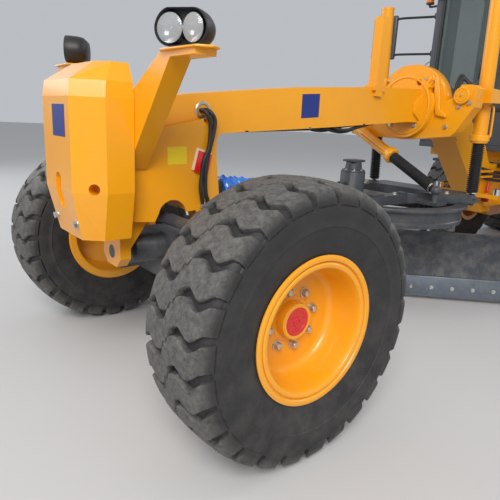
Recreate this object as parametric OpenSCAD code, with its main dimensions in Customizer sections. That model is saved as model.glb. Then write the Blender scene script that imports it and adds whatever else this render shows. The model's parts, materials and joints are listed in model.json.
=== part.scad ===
// Motor grader with an articulated frame, tandem rear wheels and a turning blade.
// Forward is -Y, left is +X and up is +Z. Lengths along Y count from the front axle.

/* [Machine] */
// Overall length from the nose to the rear bumper
machine_len = 8970; // [8700:10:9300]
// Distance from the nose face back to the front axle
nose_reach = 700; // [650:5:750]
// Front axle to the centre of the tandem
wheelbase = 6219; // [6150:5:6300]
// Distance between the wheels of one tandem
tandem_pitch = 1538; // [1500:2:1580]
// Distance between the left and right wheel centres
track = 2180; // [2150:2:2220]
// Pivot of the two frames, back from the front axle
hinge_back = 3850; // [3800:5:3900]

/* [Wheels] */
// Radius of a tyre at its lugs
tyre_r = 674; // [660:1:690]
// Width of a tyre at its side walls
tyre_w = 445; // [430:1:460]
// Width of the tread
tread_w = 396; // [370:1:410]
// Height of the tread's lugs
tread_h = 34; // [25:1:38]
// Lugs on each side of a tyre
tread_count = 17; // [15:1:24]
// Radius of the rim flange
rim_r = 356; // [350:1:365]
// Radius of the rim's bead seat
seat_r = 318; // [312:1:322]
// Thickness of the rim's steel
rim_t = 14; // [10:1:18]
// Half the distance between the rim's flanges
rim_half = 200; // [180:1:210]
// Radius of the front hub
hub_r = 88; // [80:1:95]

/* [Front frame] */
// Outer width of the box beam
beam_w = 300; // [280:2:340]
// Half the width of the gooseneck
neck_x = 128; // [115:1:140]
// Thickness of the deep front side plates
side_plate_t = 16; // [10:1:25]
// Width of the nose casting
nose_w = 580; // [540:2:620]
// Height of the centre of the lean bar
lean_bar_z = 990; // [980:1:1000]
// Lean bar, forward of the axle
lean_bar_y = -117; // [-120:1:-110]
// Height of the front axle's swing pin
swing_z = 797; // [790:1:805]
// Radius of the front axle's swing pin
swing_pin_r = 40; // [35:1:42]

/* [Front axle] */
// Distance of the wheel lean pins from the centre line
lean_pin_x = 760; // [755:1:765]
// Height of the wheel lean pins
lean_pin_z = 600; // [590:1:610]
// Radius of the wheel lean pins
lean_pin_r = 32; // [26:1:38]
// Distance of the lean bar's ends from the centre line
lean_bar_x = 640; // [620:1:660]
// Distance of the king pins from the centre line
king_x = 885; // [880:1:895]
// Radius of the king pins
king_r = 30; // [24:1:36]
// Radius of the lean bar
lean_bar_r = 34; // [28:1:40]

/* [Blade] */
// Length of the mouldboard
blade_len = 3660; // [3600:10:3700]
// Height of the mouldboard with its edge
blade_h = 610; // [580:5:640]
// Clearance of the cutting edge above the ground
blade_low = 40; // [20:5:60]
// Angle of the parked mouldboard from straight across
blade_yaw = 46; // [40:1:46]
// Side shift of the parked mouldboard towards the left
blade_park = -20; // [-60:5:-20]
// Circle centre, back from the front axle
circle_back = 2165; // [2140:5:2190]
// Radius of the circle's drum
circle_r = 640; // [620:5:660]
// Radius of the circle's top flange
circle_flange_r = 680; // [670:5:690]
// Height of the circle's top face
circle_top = 975; // [970:1:985]

/* [Cab] */
// Width of the cab
cab_w = 1500; // [1400:10:1560]
// Length of the cab
cab_len = 1550; // [1450:10:1600]
// Front wall of the cab, back from the front axle
cab_back = 3720; // [3700:5:3780]
// Height of the cab floor's underside
cab_floor = 1380; // [1340:5:1420]
// Height of the top of the roof
cab_top = 3400; // [3300:10:3450]
// Thickness of the cab's walls
wall_t = 50; // [40:1:60]

/* [Hidden] */
$fn = 48;

half = machine_len / 2;
front_axle_y = nose_reach - half;
half_track = track / 2;
rear_end = machine_len - nose_reach;
pin_gap = 0.05;
seat_gap = 0.3;
face_gap = 0.5;
// Room between the end of a rod and the ball it pushes
ball_gap = 5;
beam_x = beam_w / 2;

YELLOW = [0.95, 0.62, 0.04];
STEEL = [0.22, 0.25, 0.29];
RUBBER = [0.13, 0.13, 0.13];
SILVER = [0.72, 0.73, 0.74];
BLACK = [0.06, 0.06, 0.07];
RED = [0.75, 0.05, 0.05];
GLASS = [0.45, 0.55, 0.58, 0.4];
GREY = [0.30, 0.32, 0.35];

// Basic shapes, each between two coordinates
module box(x0, x1, y0, y1, z0, z1)
  translate([x0, y0, z0]) cube([x1 - x0, y1 - y0, z1 - z0]);
module side_profile(points, x0, x1)
  translate([x0, 0, 0]) rotate([90, 0, 90]) linear_extrude(height = x1 - x0) polygon(points);
module front_profile(points, y0, y1)
  translate([0, y1, 0]) rotate([90, 0, 0]) linear_extrude(height = y1 - y0) polygon(points);
module plan_profile(points, z0, z1)
  translate([0, 0, z0]) linear_extrude(height = z1 - z0) polygon(points);
module cyl_x(r, x0, x1, y, z)
  translate([x0, y, z]) rotate([0, 90, 0]) cylinder(r = r, h = x1 - x0);
module cyl_y(r, y0, y1, x, z)
  translate([x, y1, z]) rotate([90, 0, 0]) cylinder(r = r, h = y1 - y0);
module cyl_z(r, z0, z1, x, y)
  translate([x, y, z0]) cylinder(r = r, h = z1 - z0);
module both_sides() {
  children();
  mirror([1, 0, 0]) children();
}
module on_side(s) {
  if (s > 0) children();
  else mirror([1, 0, 0]) children();
}
function span(a, b) = norm(b - a);
// A round bar from a towards b, between two distances from a
module bar(a, b, r, from, to) {
  d = b - a;
  translate(a) rotate([0, acos(d[2] / norm(d)), atan2(d[1], d[0])])
    translate([0, 0, from]) cylinder(r = r, h = to - from);
}

// A turned piece along the line from a to b: rows of [distance from a, radius]
module turned(a, b, rows) {
  d = b - a;
  translate(a) rotate([0, acos(d[2] / norm(d)), atan2(d[1], d[0])])
    rotate_extrude($fn = 40) polygon([for (q = rows) [q[1], q[0]]]);
}

// Front frame: box beam, deep front plates, gooseneck and hinge
beam_front = -400;
neck_end = hinge_back - 130;
hinge_low_z = 740;
hinge_top_z = 1250;
lug_t = 50;
lug_r = 125;
hinge_pin_r = 45;
hinge_low_tongue = hinge_low_z + lug_t + face_gap;
hinge_top_tongue = hinge_top_z - lug_t - face_gap - lug_t;
BEAM = [[beam_front, 1640], [0, 1706], [845, 1805], [1685, 1869], [2250, 1895], [2800, 1895],
        [2960, 1840], [2960, 1480], [2840, 1600], [2760, 1632], [2129, 1625], [1253, 1559], [230, 1490],
        [176, 1400], [beam_front, 1400]];
NECK = [[2760, 1632], [2840, 1600], [2960, 1480], [3543, 895], [3660, hinge_low_z], [neck_end, hinge_low_z],
        [neck_end, hinge_top_z], [3660, 1290], [3560, 1435], [2960, 1840]];
ARCH_R = 92;
DEEP = [[beam_front, 1005], [-232, 990], [lean_bar_y - ARCH_R, 1034], [lean_bar_y + ARCH_R, 1034],
        [35, 1040], [64, 1014], [123, 990], [176, 1000], [181, 1598], [56, 1567], [-202, 1512],
        [beam_front, 1470]];
plate_x = 190;
PIVOT_SIDE = [[-412, 715], [-346, 715], [-346, 830], [-235, 990], [-235, 1120], [-412, 1120]];
PIVOT_FRONT = [[-115, 770], [-60, 712], [60, 712], [115, 770], [115, 1120], [-115, 1120]];

module front_frame() color(YELLOW) difference() {
  union() {
    side_profile(BEAM, -beam_x, beam_x);
    side_profile(NECK, -neck_x, neck_x);
    both_sides() side_profile(DEEP, plate_x - side_plate_t, plate_x);
    both_sides() box(beam_x - 1, plate_x - 1, beam_front, 150, 1405, 1500);
    box(-beam_x, beam_x, beam_front, beam_front + 40, 1000, 1500);
    intersection() {
      side_profile(PIVOT_SIDE, -115, 115);
      front_profile(PIVOT_FRONT, -420, -230);
    }
    box(-plate_x + 1, plate_x - 1, -412, -235, 1006, 1120);
    // Socket of the drawbar's ball
    box(-plate_x + 1, plate_x - 1, -20, 78, 1045, 1225);
    // Rear bearing of the swing pin, on two arms beside the drawbar
    both_sides() side_profile([[235, 740], [300, 740], [300, 900], [215, 1060], [176, 1400], [110, 1400],
                               [110, 1010], [203, 1000], [235, 900]], 88, plate_x - 1);
    box(-100, 100, 235, 300, 740, 868);
    // Hinge lugs
    for (z = [hinge_low_z, hinge_top_z - lug_t]) {
      box(-lug_r, lug_r, neck_end - 1, hinge_back, z, z + lug_t);
      cyl_z(lug_r, z, z + lug_t, 0, hinge_back);
    }
    // Ears of the articulation cylinders
    both_sides() box(neck_x - 1, artic_front[0] + 45, artic_front[1] - 60, artic_front[1] + 60,
                     artic_z - 70, artic_z - artic_eye - seat_gap);
    // Bracket of the hinge lock
    both_sides() side_profile([[3400, 1120], [3680, 1120], [3715, 1155], [3680, 1195], [3400, 1195]], neck_x - 1, 190);
    // Square post and its foot
    box(95, 175, 1645, 1725, 1800, 2363);
    box(80, 176, 1620, 1750, 1840, 1880);
  }
  cyl_y(swing_pin_r + pin_gap, -430, 310, 0, swing_z);
  both_sides() cyl_x(ARCH_R, 151, 300, lean_bar_y, lean_bar_z + 28);
  turned(ball - [0, 60, 0], ball + [0, 60, 0],
         [for (a = [0 : 7.5 : 112.5]) [60 - (ball_r + seat_gap) * cos(a), (ball_r + seat_gap) * sin(a)],
          [60 + 45, 66], [60 + 45, 0]]);
  both_sides() box(neck_x, 300, 3430, 3720, 1140, 1175);
  cyl_z(hinge_pin_r + pin_gap, 700, 1300, 0, hinge_back);
  both_sides() cyl_x(24, beam_x - 40, 300, 106, 1570);
}

// Moulded nose weight
nose_x = nose_w / 2;
nose_front = -nose_reach;
nose_rear = -402;
NOSE = [[-nose_x, nose_rear], [-nose_x, nose_rear - 150], [-200, nose_front], [200, nose_front],
        [nose_x, nose_rear - 150], [nose_x, nose_rear]];
module nose_weight() color(YELLOW) difference() {
  hull() {
    plan_profile(NOSE, 1180, 1650);
    plan_profile([[-nose_x + 10, nose_rear], [-nose_x + 10, nose_rear - 140], [-190, nose_front + 10],
                  [190, nose_front + 10], [nose_x - 10, nose_rear - 140], [nose_x - 10, nose_rear]], 1180, 1730);
    plan_profile([[-230, nose_rear], [-230, nose_rear - 90], [-150, nose_front + 150],
                  [150, nose_front + 150], [230, nose_rear - 90], [230, nose_rear]], 1180, 1825);
    plan_profile([[-240, nose_rear], [-240, nose_rear - 150], [-170, nose_front + 55],
                  [170, nose_front + 55], [240, nose_rear - 150], [240, nose_rear]], 925, 1100);
  }
  hull() {
    cyl_y(42, nose_front - 20, nose_front + 45, 0, 1225);
    cyl_y(42, nose_front - 20, nose_front + 45, 0, 1115);
  }
  // Pocket round the nose end of the pivot block
  box(-plate_x, plate_x, -412 - seat_gap, nose_rear + 1, 900, 1120 + seat_gap);
  both_sides() translate([245, -598, 1200]) rotate([90, 0, 51]) cylinder(r = 28, h = 160, center = true);
}

// Folded arms that carry the headlamps
LAMP_ARM = [[190, 1290], [190, 1650], [560, 1865], [845, 1865], [845, 1830], [640, 1830], [200, 1290]];
module lamp_brackets() color(YELLOW) both_sides()
  difference() {
    front_profile(LAMP_ARM, -400, -290);
    front_profile([[191.5, 1310], [202, 1310], [640, 1838], [600, 1856], [192, 1620]], -396, -294);
  }
// Twin lamps in one housing, turned outward
lamp_turn = 30;
module headlamps() color(BLACK) both_sides() translate([690, -372, 1948]) rotate([0, 0, lamp_turn]) {
  for (l = [[-57, 76], [57, 72]]) cyl_y(l[1], -8, 120, l[0], 0);
  box(-57, 57, 0, 120, -60, 66);
  cyl_z(30, -83, -40, 0, 60);
}

// Saddle with its round lock disc and the arms that carry the lift cylinders
arm_y0 = 2330;
arm_y1 = 2450;
lift_x = 525;
trunnion_z = 1855;
trunnion_y = 2620;
yoke_gap = 92;
trunnion_r = 32;
disc_z = 1760;
ARM_PLATE = [[-610, 1560], [-600, 1500], [-520, 1490], [0, 1478], [430, 1525], [470, 1560], [600, 1760],
             [610, 1900], [560, 1930], [470, 1930], [410, 1830], [330, 1790], [240, 1700], [-240, 1700],
             [-330, 1790], [-410, 1830], [-470, 1930], [-560, 1930], [-610, 1900]];
module saddle() color(YELLOW) difference() {
  union() {
    front_profile(ARM_PLATE, arm_y0, arm_y1);
    cyl_y(265, arm_y0 - 60, arm_y0, 0, disc_z);
    intersection() {
      cyl_y(345, arm_y0, arm_y1, 0, disc_z);
      box(-400, 400, arm_y0, arm_y1, 1500, 2100);
    }
    both_sides() cyl_y(42, arm_y0 - 30, arm_y0, lift_x - 30, trunnion_z - 10);
    // Yokes that hold the lift cylinders' trunnions
    both_sides() {
      box(lift_x - 60, lift_x + 60, arm_y1, trunnion_y - 95, trunnion_z - 60, trunnion_z + 60);
      box(lift_x - yoke_gap - 32, lift_x + yoke_gap + 32, trunnion_y - 135, trunnion_y - 95,
          trunnion_z - 55, trunnion_z + 55);
      for (x = [lift_x - yoke_gap - 32, lift_x + yoke_gap])
        side_profile([[trunnion_y - 135, trunnion_z - 55], [trunnion_y + 40, trunnion_z - 50],
                      [trunnion_y + 50, trunnion_z + 50], [trunnion_y - 135, trunnion_z + 55]], x, x + 32);
    }
  }
  both_sides() cyl_x(trunnion_r + pin_gap, lift_x - 140, lift_x + 140, trunnion_y, trunnion_z);
  // Pocket of the centre-shift cylinder's root
  translate(shift_top) sphere(r = shift_top_r + seat_gap, $fn = 64);
  side_profile(BEAM, -beam_x - 0.3, beam_x + 0.3);
  for (x = [120, 235]) cyl_y(26, arm_y0 - 70, arm_y1 + 10, x, disc_z + 190 - abs(x - 120) * 0.5);
}

// Hinge lock bar at the side of the pivot
module lock_bar() color(RED) {
  box(neck_x + seat_gap, 185, 3650, 3690, 860, 900);
  cyl_z(16, 899, 1060, 165, 3670);
}

// Hoses that leave the beam and run down inside the axle arch
module side_hoses() color(BLACK) {
  for (y = [96, 116]) {
    bar([190, y, 1622], [260, y + 20, 1560], 13, 13, 94);
    bar([260, y + 20, 1560], [262, y + 10, 1330], 13, -8, 238);
    bar([262, y + 10, 1330], [206, y, 1100], 13, -8, 236);
  }
}

// Front axle beam
AXLE = [[-700, 690], [-560, 725], [-300, 860], [-150, 890], [150, 890], [300, 860], [560, 725], [700, 690],
        [700, 500], [560, 500], [300, 590], [-300, 590], [-560, 500], [-700, 500]];
axle_y = 100;
lean_gap = 60;
module front_axle() color(STEEL) {
  difference() {
    union() {
      front_profile(AXLE, -axle_y, axle_y);
      both_sides() for (y = [[-axle_y, -lean_gap], [lean_gap, axle_y]]) {
        box(690, lean_pin_x, y[0], y[1], lean_pin_z - 70, lean_pin_z + 70);
        cyl_y(70, y[0], y[1], lean_pin_x, lean_pin_z);
      }
      cyl_y(86, -290, -axle_y + 1, 0, swing_z);
      // Ear of the lean cylinder
      box(lean_foot[0] - 16, lean_foot[0] + 40, axle_y - 1, lean_cyl_y - 18.5, 840, 920);
    }
    both_sides() cyl_y(lean_pin_r + pin_gap, -140, 140, lean_pin_x, lean_pin_z);
    both_sides() box(lean_pin_x - 105, lean_pin_x + 100, -lean_gap, lean_gap, lean_pin_z - 110, lean_pin_z + 150);
  }
  // Swing pin, fixed in the axle
  cyl_y(swing_pin_r, -412, 299, 0, swing_z);
  cyl_y(20, axle_y - 1, lean_cyl_y + 20, lean_foot[0], lean_foot[2]);
  // Steering cylinder, with the tie rod passing through it
  difference() {
    union() {
      cyl_x(42, -330, 330, tie_y, tie_z);
      both_sides() box(230, 290, axle_y - 1, tie_y, tie_z - 36, tie_z + 36);
    }
    cyl_x(22 + pin_gap, -340, 340, tie_y, tie_z);
  }
}

// Lean brackets: hang on the lean pins and hold the king pins
king_low = 520;
king_high = 770;
lug_h = 50;
module lean_bracket(s) color(STEEL) on_side(s) difference() {
  union() {
    cyl_y(62, -lean_gap + face_gap, lean_gap - face_gap, lean_pin_x, lean_pin_z);
    box(740, 822, -20, 20, 570, king_high + lug_h);
    box(762, 822, -45, 45, king_low, 600);
    for (z = [king_low, king_high]) {
      box(z > 600 ? 740 : 780, king_x, -50, 50, z, z + lug_h);
      cyl_z(50, z, z + lug_h, king_x, 0);
    }
    // Arm up to the lean bar
    front_profile([[lean_bar_x - 45, 955], [lean_bar_x - 45, 1030], [lean_bar_x + 25, 1035], [735, 900], [800, 820],
                   [800, king_high + 1], [722, king_high + 1], [690, 860], [650, 940]], lean_bar_y + 38, -49);
  }
  cyl_y(lean_pin_r + pin_gap, -140, 140, lean_pin_x, lean_pin_z);
  cyl_z(king_r + pin_gap, 500, 850, king_x, 0);
  if (s > 0) cyl_y(18 + pin_gap, lean_bar_y + 30, lean_bar_y + 80, lean_bar_x, lean_bar_z);
}
module lean_left() lean_bracket(1);
module lean_right() {
  lean_bracket(-1);
  // Ear that the lean cylinder pushes
  color(STEEL) mirror([1, 0, 0]) {
    box(705, 755, 45, lean_cyl_y - 22, king_high, king_high + lug_h);
    front_profile([[lean_bar_x - 28, 875], [lean_bar_x - 28, 928], [lean_bar_x + 28, 928], [755, king_high + lug_h],
                   [755, king_high], [705, king_high]], 100, lean_cyl_y - 22);
  }
}
module lean_bar() color(STEEL) {
  cyl_x(lean_bar_r, -lean_bar_x, lean_bar_x, lean_bar_y, lean_bar_z);
  both_sides() cyl_y(40, lean_bar_y - 37, lean_bar_y + 37.5, lean_bar_x, lean_bar_z);
  cyl_y(18, lean_bar_y + 30, lean_bar_y + 66, lean_bar_x, lean_bar_z);
}

// Cylinder that leans the wheels: from an ear on the beam to the right lean bracket
lean_cyl_y = 158;
lean_foot = [150, lean_cyl_y, 880];
lean_eye = [-lean_bar_x, lean_cyl_y, 900];
lean_span = span(lean_foot, lean_eye);
module lean_barrel() color(STEEL) {
  difference() {
    cyl_y(36, lean_cyl_y - 18, lean_cyl_y + 18, lean_foot[0], lean_foot[2]);
    cyl_y(20 + pin_gap, lean_cyl_y - 60, lean_cyl_y + 60, lean_foot[0], lean_foot[2]);
  }
  turned(lean_foot, lean_eye, [[28, 0], [28, 16], [50, 31], [460, 31], [460, 18 + pin_gap], [200, 18 + pin_gap], [200, 0]]);
}
module lean_rod() color(SILVER) {
  turned(lean_foot, lean_eye, [[330, 0], [330, 18], [lean_span - 10, 18], [lean_span - 10, 0]]);
  cyl_y(28, lean_cyl_y - 21, lean_cyl_y + 21, lean_eye[0], lean_eye[2]);
}

// Steering knuckles with their stub axles and steering arms
arm_end = 120;
arm_low = 690;
tie_y = 150;
tie_z = 667;
tie_eye_r = 24;
spindle_r = 52;
spindle_end = 39.5;
module knuckle(s) color(STEEL) on_side(s) {
  cyl_z(50, king_low + lug_h + face_gap, king_high - face_gap, king_x, 0);
  cyl_x(spindle_r, king_x + 20, half_track + spindle_end, 0, tyre_r);
  cyl_x(70, king_x + 30, half_track - 62, 0, tyre_r);
  box(king_x - 22, king_x + 22, 0, arm_end - 30, arm_low, arm_low + 32);
  cyl_z(30, arm_low, arm_low + 32, king_x, arm_end - 30);
  cyl_z(king_r, king_low + 1, king_high + lug_h - 1, king_x, 0);
}
module knuckle_left() knuckle(1);
module knuckle_right() knuckle(-1);
module tie_rod() color(SILVER) {
  cyl_x(22, -king_x, king_x, tie_y, tie_z);
  both_sides() cyl_z(tie_eye_r, tie_z - 26, arm_low + 32, king_x, tie_y);
}

// Wheels
tread_floor = tyre_r - tread_h;
TYRE = [[-rim_half + 14, seat_r + seat_gap], [-rim_half + 14, rim_r + 6], [-tyre_w / 2, 520],
        [-tread_w / 2 + 8, tread_floor], [tread_w / 2 - 8, tread_floor], [tyre_w / 2, 520],
        [rim_half - 14, rim_r + 6], [rim_half - 14, seat_r + seat_gap]];
// Corners of one lug: angle from its middle, and radius
LUG = [[-4.6, 590], [-3.4, tyre_r], [3.4, tyre_r], [4.6, 590]];
RIM = [[-rim_half, seat_r - rim_t], [-rim_half, rim_r], [-rim_half + 12, rim_r], [-rim_half + 13, seat_r],
       [rim_half - 13, seat_r], [rim_half - 12, rim_r], [rim_half, rim_r], [rim_half, seat_r - rim_t]];
module spun(points) rotate([0, 90, 0])
  rotate_extrude($fn = 72) polygon([for (p = points) [p[1], p[0]]]);
module lug_ring(turn) difference() {
  polygon([for (i = [0 : tread_count - 1], c = LUG) let (a = turn + i * 360 / tread_count + c[0]) c[1] * [cos(a), sin(a)]]);
  circle(r = 560, $fn = 18);
}
// Casing with its lugs, half a pitch apart on the two sides
module tyre_at(x, y) translate([x, y, tyre_r]) color(RUBBER) rotate([0, 90, 0]) {
  rotate_extrude($fn = 18) polygon([for (p = TYRE) [p[1], p[0]]]);
  linear_extrude(height = tread_w / 2) lug_ring(0);
  translate([0, 0, -tread_w / 2]) linear_extrude(height = tread_w / 2) lug_ring(180 / tread_count);
}
module rim_body(side) color(YELLOW) mirror([side > 0 ? 0 : 1, 0, 0]) {
  difference() {
    union() {
      spun(RIM);
      cyl_x(seat_r - 5, -12, 12, 0, 0);
      cyl_x(150, -20, 20, 0, 0);
      cyl_x(hub_r, -60, 62, 0, 0);
    }
    cyl_x(spindle_r + pin_gap, -70, spindle_end + 0.5, 0, 0);
  }
}
module tyre_front_left() tyre_at(half_track, 0);
module tyre_front_right() tyre_at(-half_track, 0);
module front_rim(s) translate([s * half_track, 0, tyre_r]) rim_body(s);
module rim_front_left() front_rim(1);
module rim_front_right() front_rim(-1);

// Tandem cases and rear wheels
case_x0 = 590;
case_x1 = 800;
module tandem(s) color(YELLOW) on_side(s) translate([0, wheelbase, 0]) difference() {
  union() {
    box(case_x0, case_x1, -tandem_pitch / 2, tandem_pitch / 2, tyre_r - 230, tyre_r + 200);
    for (y = [-1, 1]) {
      cyl_x(230, case_x0, case_x1, y * tandem_pitch / 2, tyre_r);
      cyl_x(110, case_x1, half_track - 62, y * tandem_pitch / 2, tyre_r);
      cyl_x(spindle_r, case_x1, half_track + spindle_end, y * tandem_pitch / 2, tyre_r);
    }
    cyl_x(250, case_x0 - 30, case_x0, 0, tyre_r);
  }
  cyl_x(120 + pin_gap, case_x0 - 40, case_x0 + 120, 0, tyre_r);
}
module tandem_left() tandem(1);
module tandem_right() tandem(-1);
module rear_wheel(s, e) {
  y = wheelbase + e * tandem_pitch / 2;
  tyre_at(s * half_track, y);
  translate([s * half_track, y, tyre_r]) rim_body(s);
}
module wheel_left_front() rear_wheel(1, -1);
module wheel_left_rear() rear_wheel(1, 1);
module wheel_right_front() rear_wheel(-1, -1);
module wheel_right_rear() rear_wheel(-1, 1);

// Drawbar: two side beams from the ball to the circle
ball = [0, 60, 1130];
ball_r = 55;
lift_ball = [lift_x, 2660, 1010];
lift_ball_r = 42;
shift_ball = [480, 2158, 1095];
shift_ball_r = 40;
bar_low = circle_top + 2;
bar_high = 1052;
bar_ledge = 1000;
module drawbar() color(STEEL) difference() {
  union() {
    turned(ball - [0, 60, 0], ball + [0, 240, 0],
           concat([for (a = [0 : 7.5 : 135]) [60 - ball_r * cos(a), ball_r * sin(a)]], [[240, 38], [240, 0]]));
    side_profile([[160, 1080], [160, 1180], [300, 1190], [760, bar_high], [760, 990], [400, 1040]], -66, 66);
    difference() {
      plan_profile([[-66, 640], [66, 640], [330, 1540], [330, 2000], [580, 2560], [580, 2720], [-580, 2720],
                    [-580, 2560], [-330, 2000], [-330, 1540]], bar_low, bar_high);
      // Low ledges round the balls
      both_sides() box(lift_ball[0] - 85, 700, lift_ball[1] - 90, 2800, bar_ledge, 1200);
      box(180, 700, shift_ball[1] - 73, shift_ball[1] + 87, bar_ledge, 1200);
    }
    // Posts and balls of the lift cylinders and of the centre-shift cylinder
    both_sides() turned(lift_ball - [0, 0, 60], lift_ball + [0, 0, 60],
                        concat([[0, 0], [0, 26], [60 - lift_ball_r * cos(40), 26]],
                               [for (a = [52.5 : 7.5 : 180]) [60 - lift_ball_r * cos(a), lift_ball_r * sin(a)]]));
    box(360, 540, shift_ball[1] - 72, shift_ball[1] + 86, bar_low, bar_ledge);
    turned(shift_ball - [0, 0, 110], shift_ball + [0, 0, 110],
           concat([[0, 0], [0, 24], [110 - shift_ball_r * cos(40), 24]],
                  [for (a = [52.5 : 7.5 : 180]) [110 - shift_ball_r * cos(a), shift_ball_r * sin(a)]]));
    // Circle drive
    cyl_z(100, 1020, 1210, 0, 1680);
  }
  plan_profile([[-20, 960], [20, 960], [150, 1400], [-150, 1400]], 900, 1100);
  plan_profile([[-220, 1880], [220, 1880], [220, 2020], [330, 2400], [-330, 2400], [-220, 2020]], 900, 1100);
}

// Circle with its drum and the arms down to the blade
drum_low = 815;
arm_u0 = 440;
arm_u1 = 500;
module blade_circle() color(STEEL) blade_place() {
  difference() {
    union() {
      cyl_z(circle_flange_r, circle_top - 27, circle_top, 0, 0);
      cyl_z(circle_r, drum_low, circle_top - 10, 0, 0);
    }
    cyl_z(circle_r - 70, drum_low - 10, circle_top + 10, 0, 0);
  }
  for (s = [0, 1]) mirror([s, 0, 0]) difference() {
    side_profile([[-430, 840], [430, 840], [475, 640], [470, 400], [445, 310], [tip_v, 300], [360, 320], [354, 350],
                  [372, 400], [400, 430], [400, 620], [340, 745], [-430, 780]], arm_u0, arm_u1);
    cyl_x(30 + pin_gap, arm_u0 - 10, arm_u1 + 10, tip_v, tip_z);
  }
}

// Blade: carrier, mouldboard and cutting edge, drawn straight across and turned
// Distance of the mouldboard's front from the circle's centre line
blade_v = 171;
blade_back_v = blade_v + 142;
module blade_place() translate([0, circle_back, 0]) rotate([0, 0, blade_yaw]) children();
module blade_shifted() blade_place() translate([blade_park, 0, 0]) children();
tip_v = blade_v + 230;
tip_z = 350;
blade_r = 420;
blade_cv = blade_v - 300;
blade_top = blade_low + blade_h;
blade_mid = blade_low + blade_h / 2 + 20;
shell_t = 22;
edge_top = blade_low + 160;
rail_v = blade_v + 165;
rail_z = [250, 510];
rail_r = 20;
rail_end = 1500;
shoe_u0 = 375;
shoe_u1 = 434;
module blade_carrier() color(STEEL) blade_place() {
  for (s = [0, 1]) mirror([s, 0, 0]) {
    difference() {
      side_profile([[rail_v - 28, 218], [rail_v + 32, 218], [tip_v + 20, 300], [tip_v + 45, 350], [tip_v + 20, 400],
                    [rail_v + 32, 545], [rail_v - 28, 545], [rail_v - 28, 478], [rail_v, 440], [rail_v, 300],
                    [rail_v - 28, 284]], shoe_u0, shoe_u1);
      for (z = rail_z) cyl_x(rail_r + pin_gap, shoe_u0 - 10, shoe_u1 + 10, rail_v, z);
    }
    cyl_x(30, shoe_u0 + 5, arm_u1 + 6, tip_v, tip_z);
  }
  cyl_x(33, -shoe_u0 - 20, shoe_u0 + 20, tip_v, tip_z);
}
module shell(r0, r1, u0, u1) difference() {
  translate([u0, blade_cv, blade_mid]) rotate([0, 90, 0]) cylinder(r = r1, h = u1 - u0, $fn = 96);
  translate([u0 - 1, blade_cv, blade_mid]) rotate([0, 90, 0]) cylinder(r = r0, h = u1 - u0 + 2, $fn = 96);
  box(u0 - 2, u1 + 2, blade_cv - 900, blade_cv + 200, -500, 1500);
}
module moldboard() color(STEEL) blade_shifted() {
  difference() {
    shell(blade_r, blade_r + shell_t, -blade_len / 2, blade_len / 2);
    box(-blade_len, blade_len, -2000, 2000, -500, blade_low + 30);
    box(-blade_len, blade_len, -2000, 2000, blade_top, 1500);
  }
  // Rails that the carrier's shoes run on, and the plates that hold them
  for (z = rail_z) cyl_x(rail_r, -rail_end, rail_end, rail_v, z);
  for (u = [-rail_end, rail_end - 30]) difference() {
    side_profile([[blade_back_v - 30, 200], [rail_v + 30, 215], [rail_v + 30, 545], [blade_back_v - 40, 560]], u, u + 30);
    translate([u - 5, blade_cv, blade_mid]) rotate([0, 90, 0]) cylinder(r = blade_r + 2, h = 40, $fn = 96);
  }
}
module cutting_edge() color(SILVER) blade_shifted() difference() {
  shell(blade_r - shell_t, blade_r - seat_gap, -blade_len / 2, blade_len / 2);
  box(-blade_len, blade_len, -2000, 2000, -500, blade_low);
  box(-blade_len, blade_len, -2000, 2000, edge_top, 1500);
}

// Lift cylinders
lift_top = [lift_x, trunnion_y, trunnion_z];
lift_span = span(lift_top, lift_ball);
module lift_barrel(s) color(YELLOW) on_side(s) {
  turned(lift_top, lift_ball, [[-800, 0], [-800, 58], [318, 58], [318, 70], [370, 70], [370, 28 + pin_gap],
                               [-700, 28 + pin_gap], [-700, 0]]);
  difference() {
    cyl_x(trunnion_r, lift_x - yoke_gap - 31, lift_x + yoke_gap + 31, trunnion_y, trunnion_z);
    bar(lift_top, lift_ball, 50, -60, 60);
  }
}
module lift_barrel_left() lift_barrel(1);
module lift_barrel_right() lift_barrel(-1);
module lift_rod(s) color(SILVER) on_side(s)
  turned(lift_top, lift_ball, [[-160, 0], [-160, 28], [lift_span - 62, 28], [lift_span - 55, 46],
                               [lift_span - lift_ball_r - ball_gap, 46], [lift_span - lift_ball_r - ball_gap, 0]]);
module lift_rod_left() lift_rod(1);
module lift_rod_right() lift_rod(-1);
shift_top_r = 58;
shift_top = [-520, arm_y0 - 52, 1560];
shift_span = span(shift_top, shift_ball);
module shift_barrel() color(YELLOW)
  turned(shift_top, shift_ball, concat([for (a = [0 : 10 : 120]) [-shift_top_r * cos(a), shift_top_r * sin(a)]],
                                       [[560, 50], [560, 26 + pin_gap], [120, 26 + pin_gap], [120, 0]]));
module shift_rod() color(SILVER)
  turned(shift_top, shift_ball, [[330, 0], [330, 26], [shift_span - 70, 26], [shift_span - 62, 38],
                                 [shift_span - shift_ball_r - ball_gap, 38], [shift_span - shift_ball_r - ball_gap, 0]]);

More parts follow.
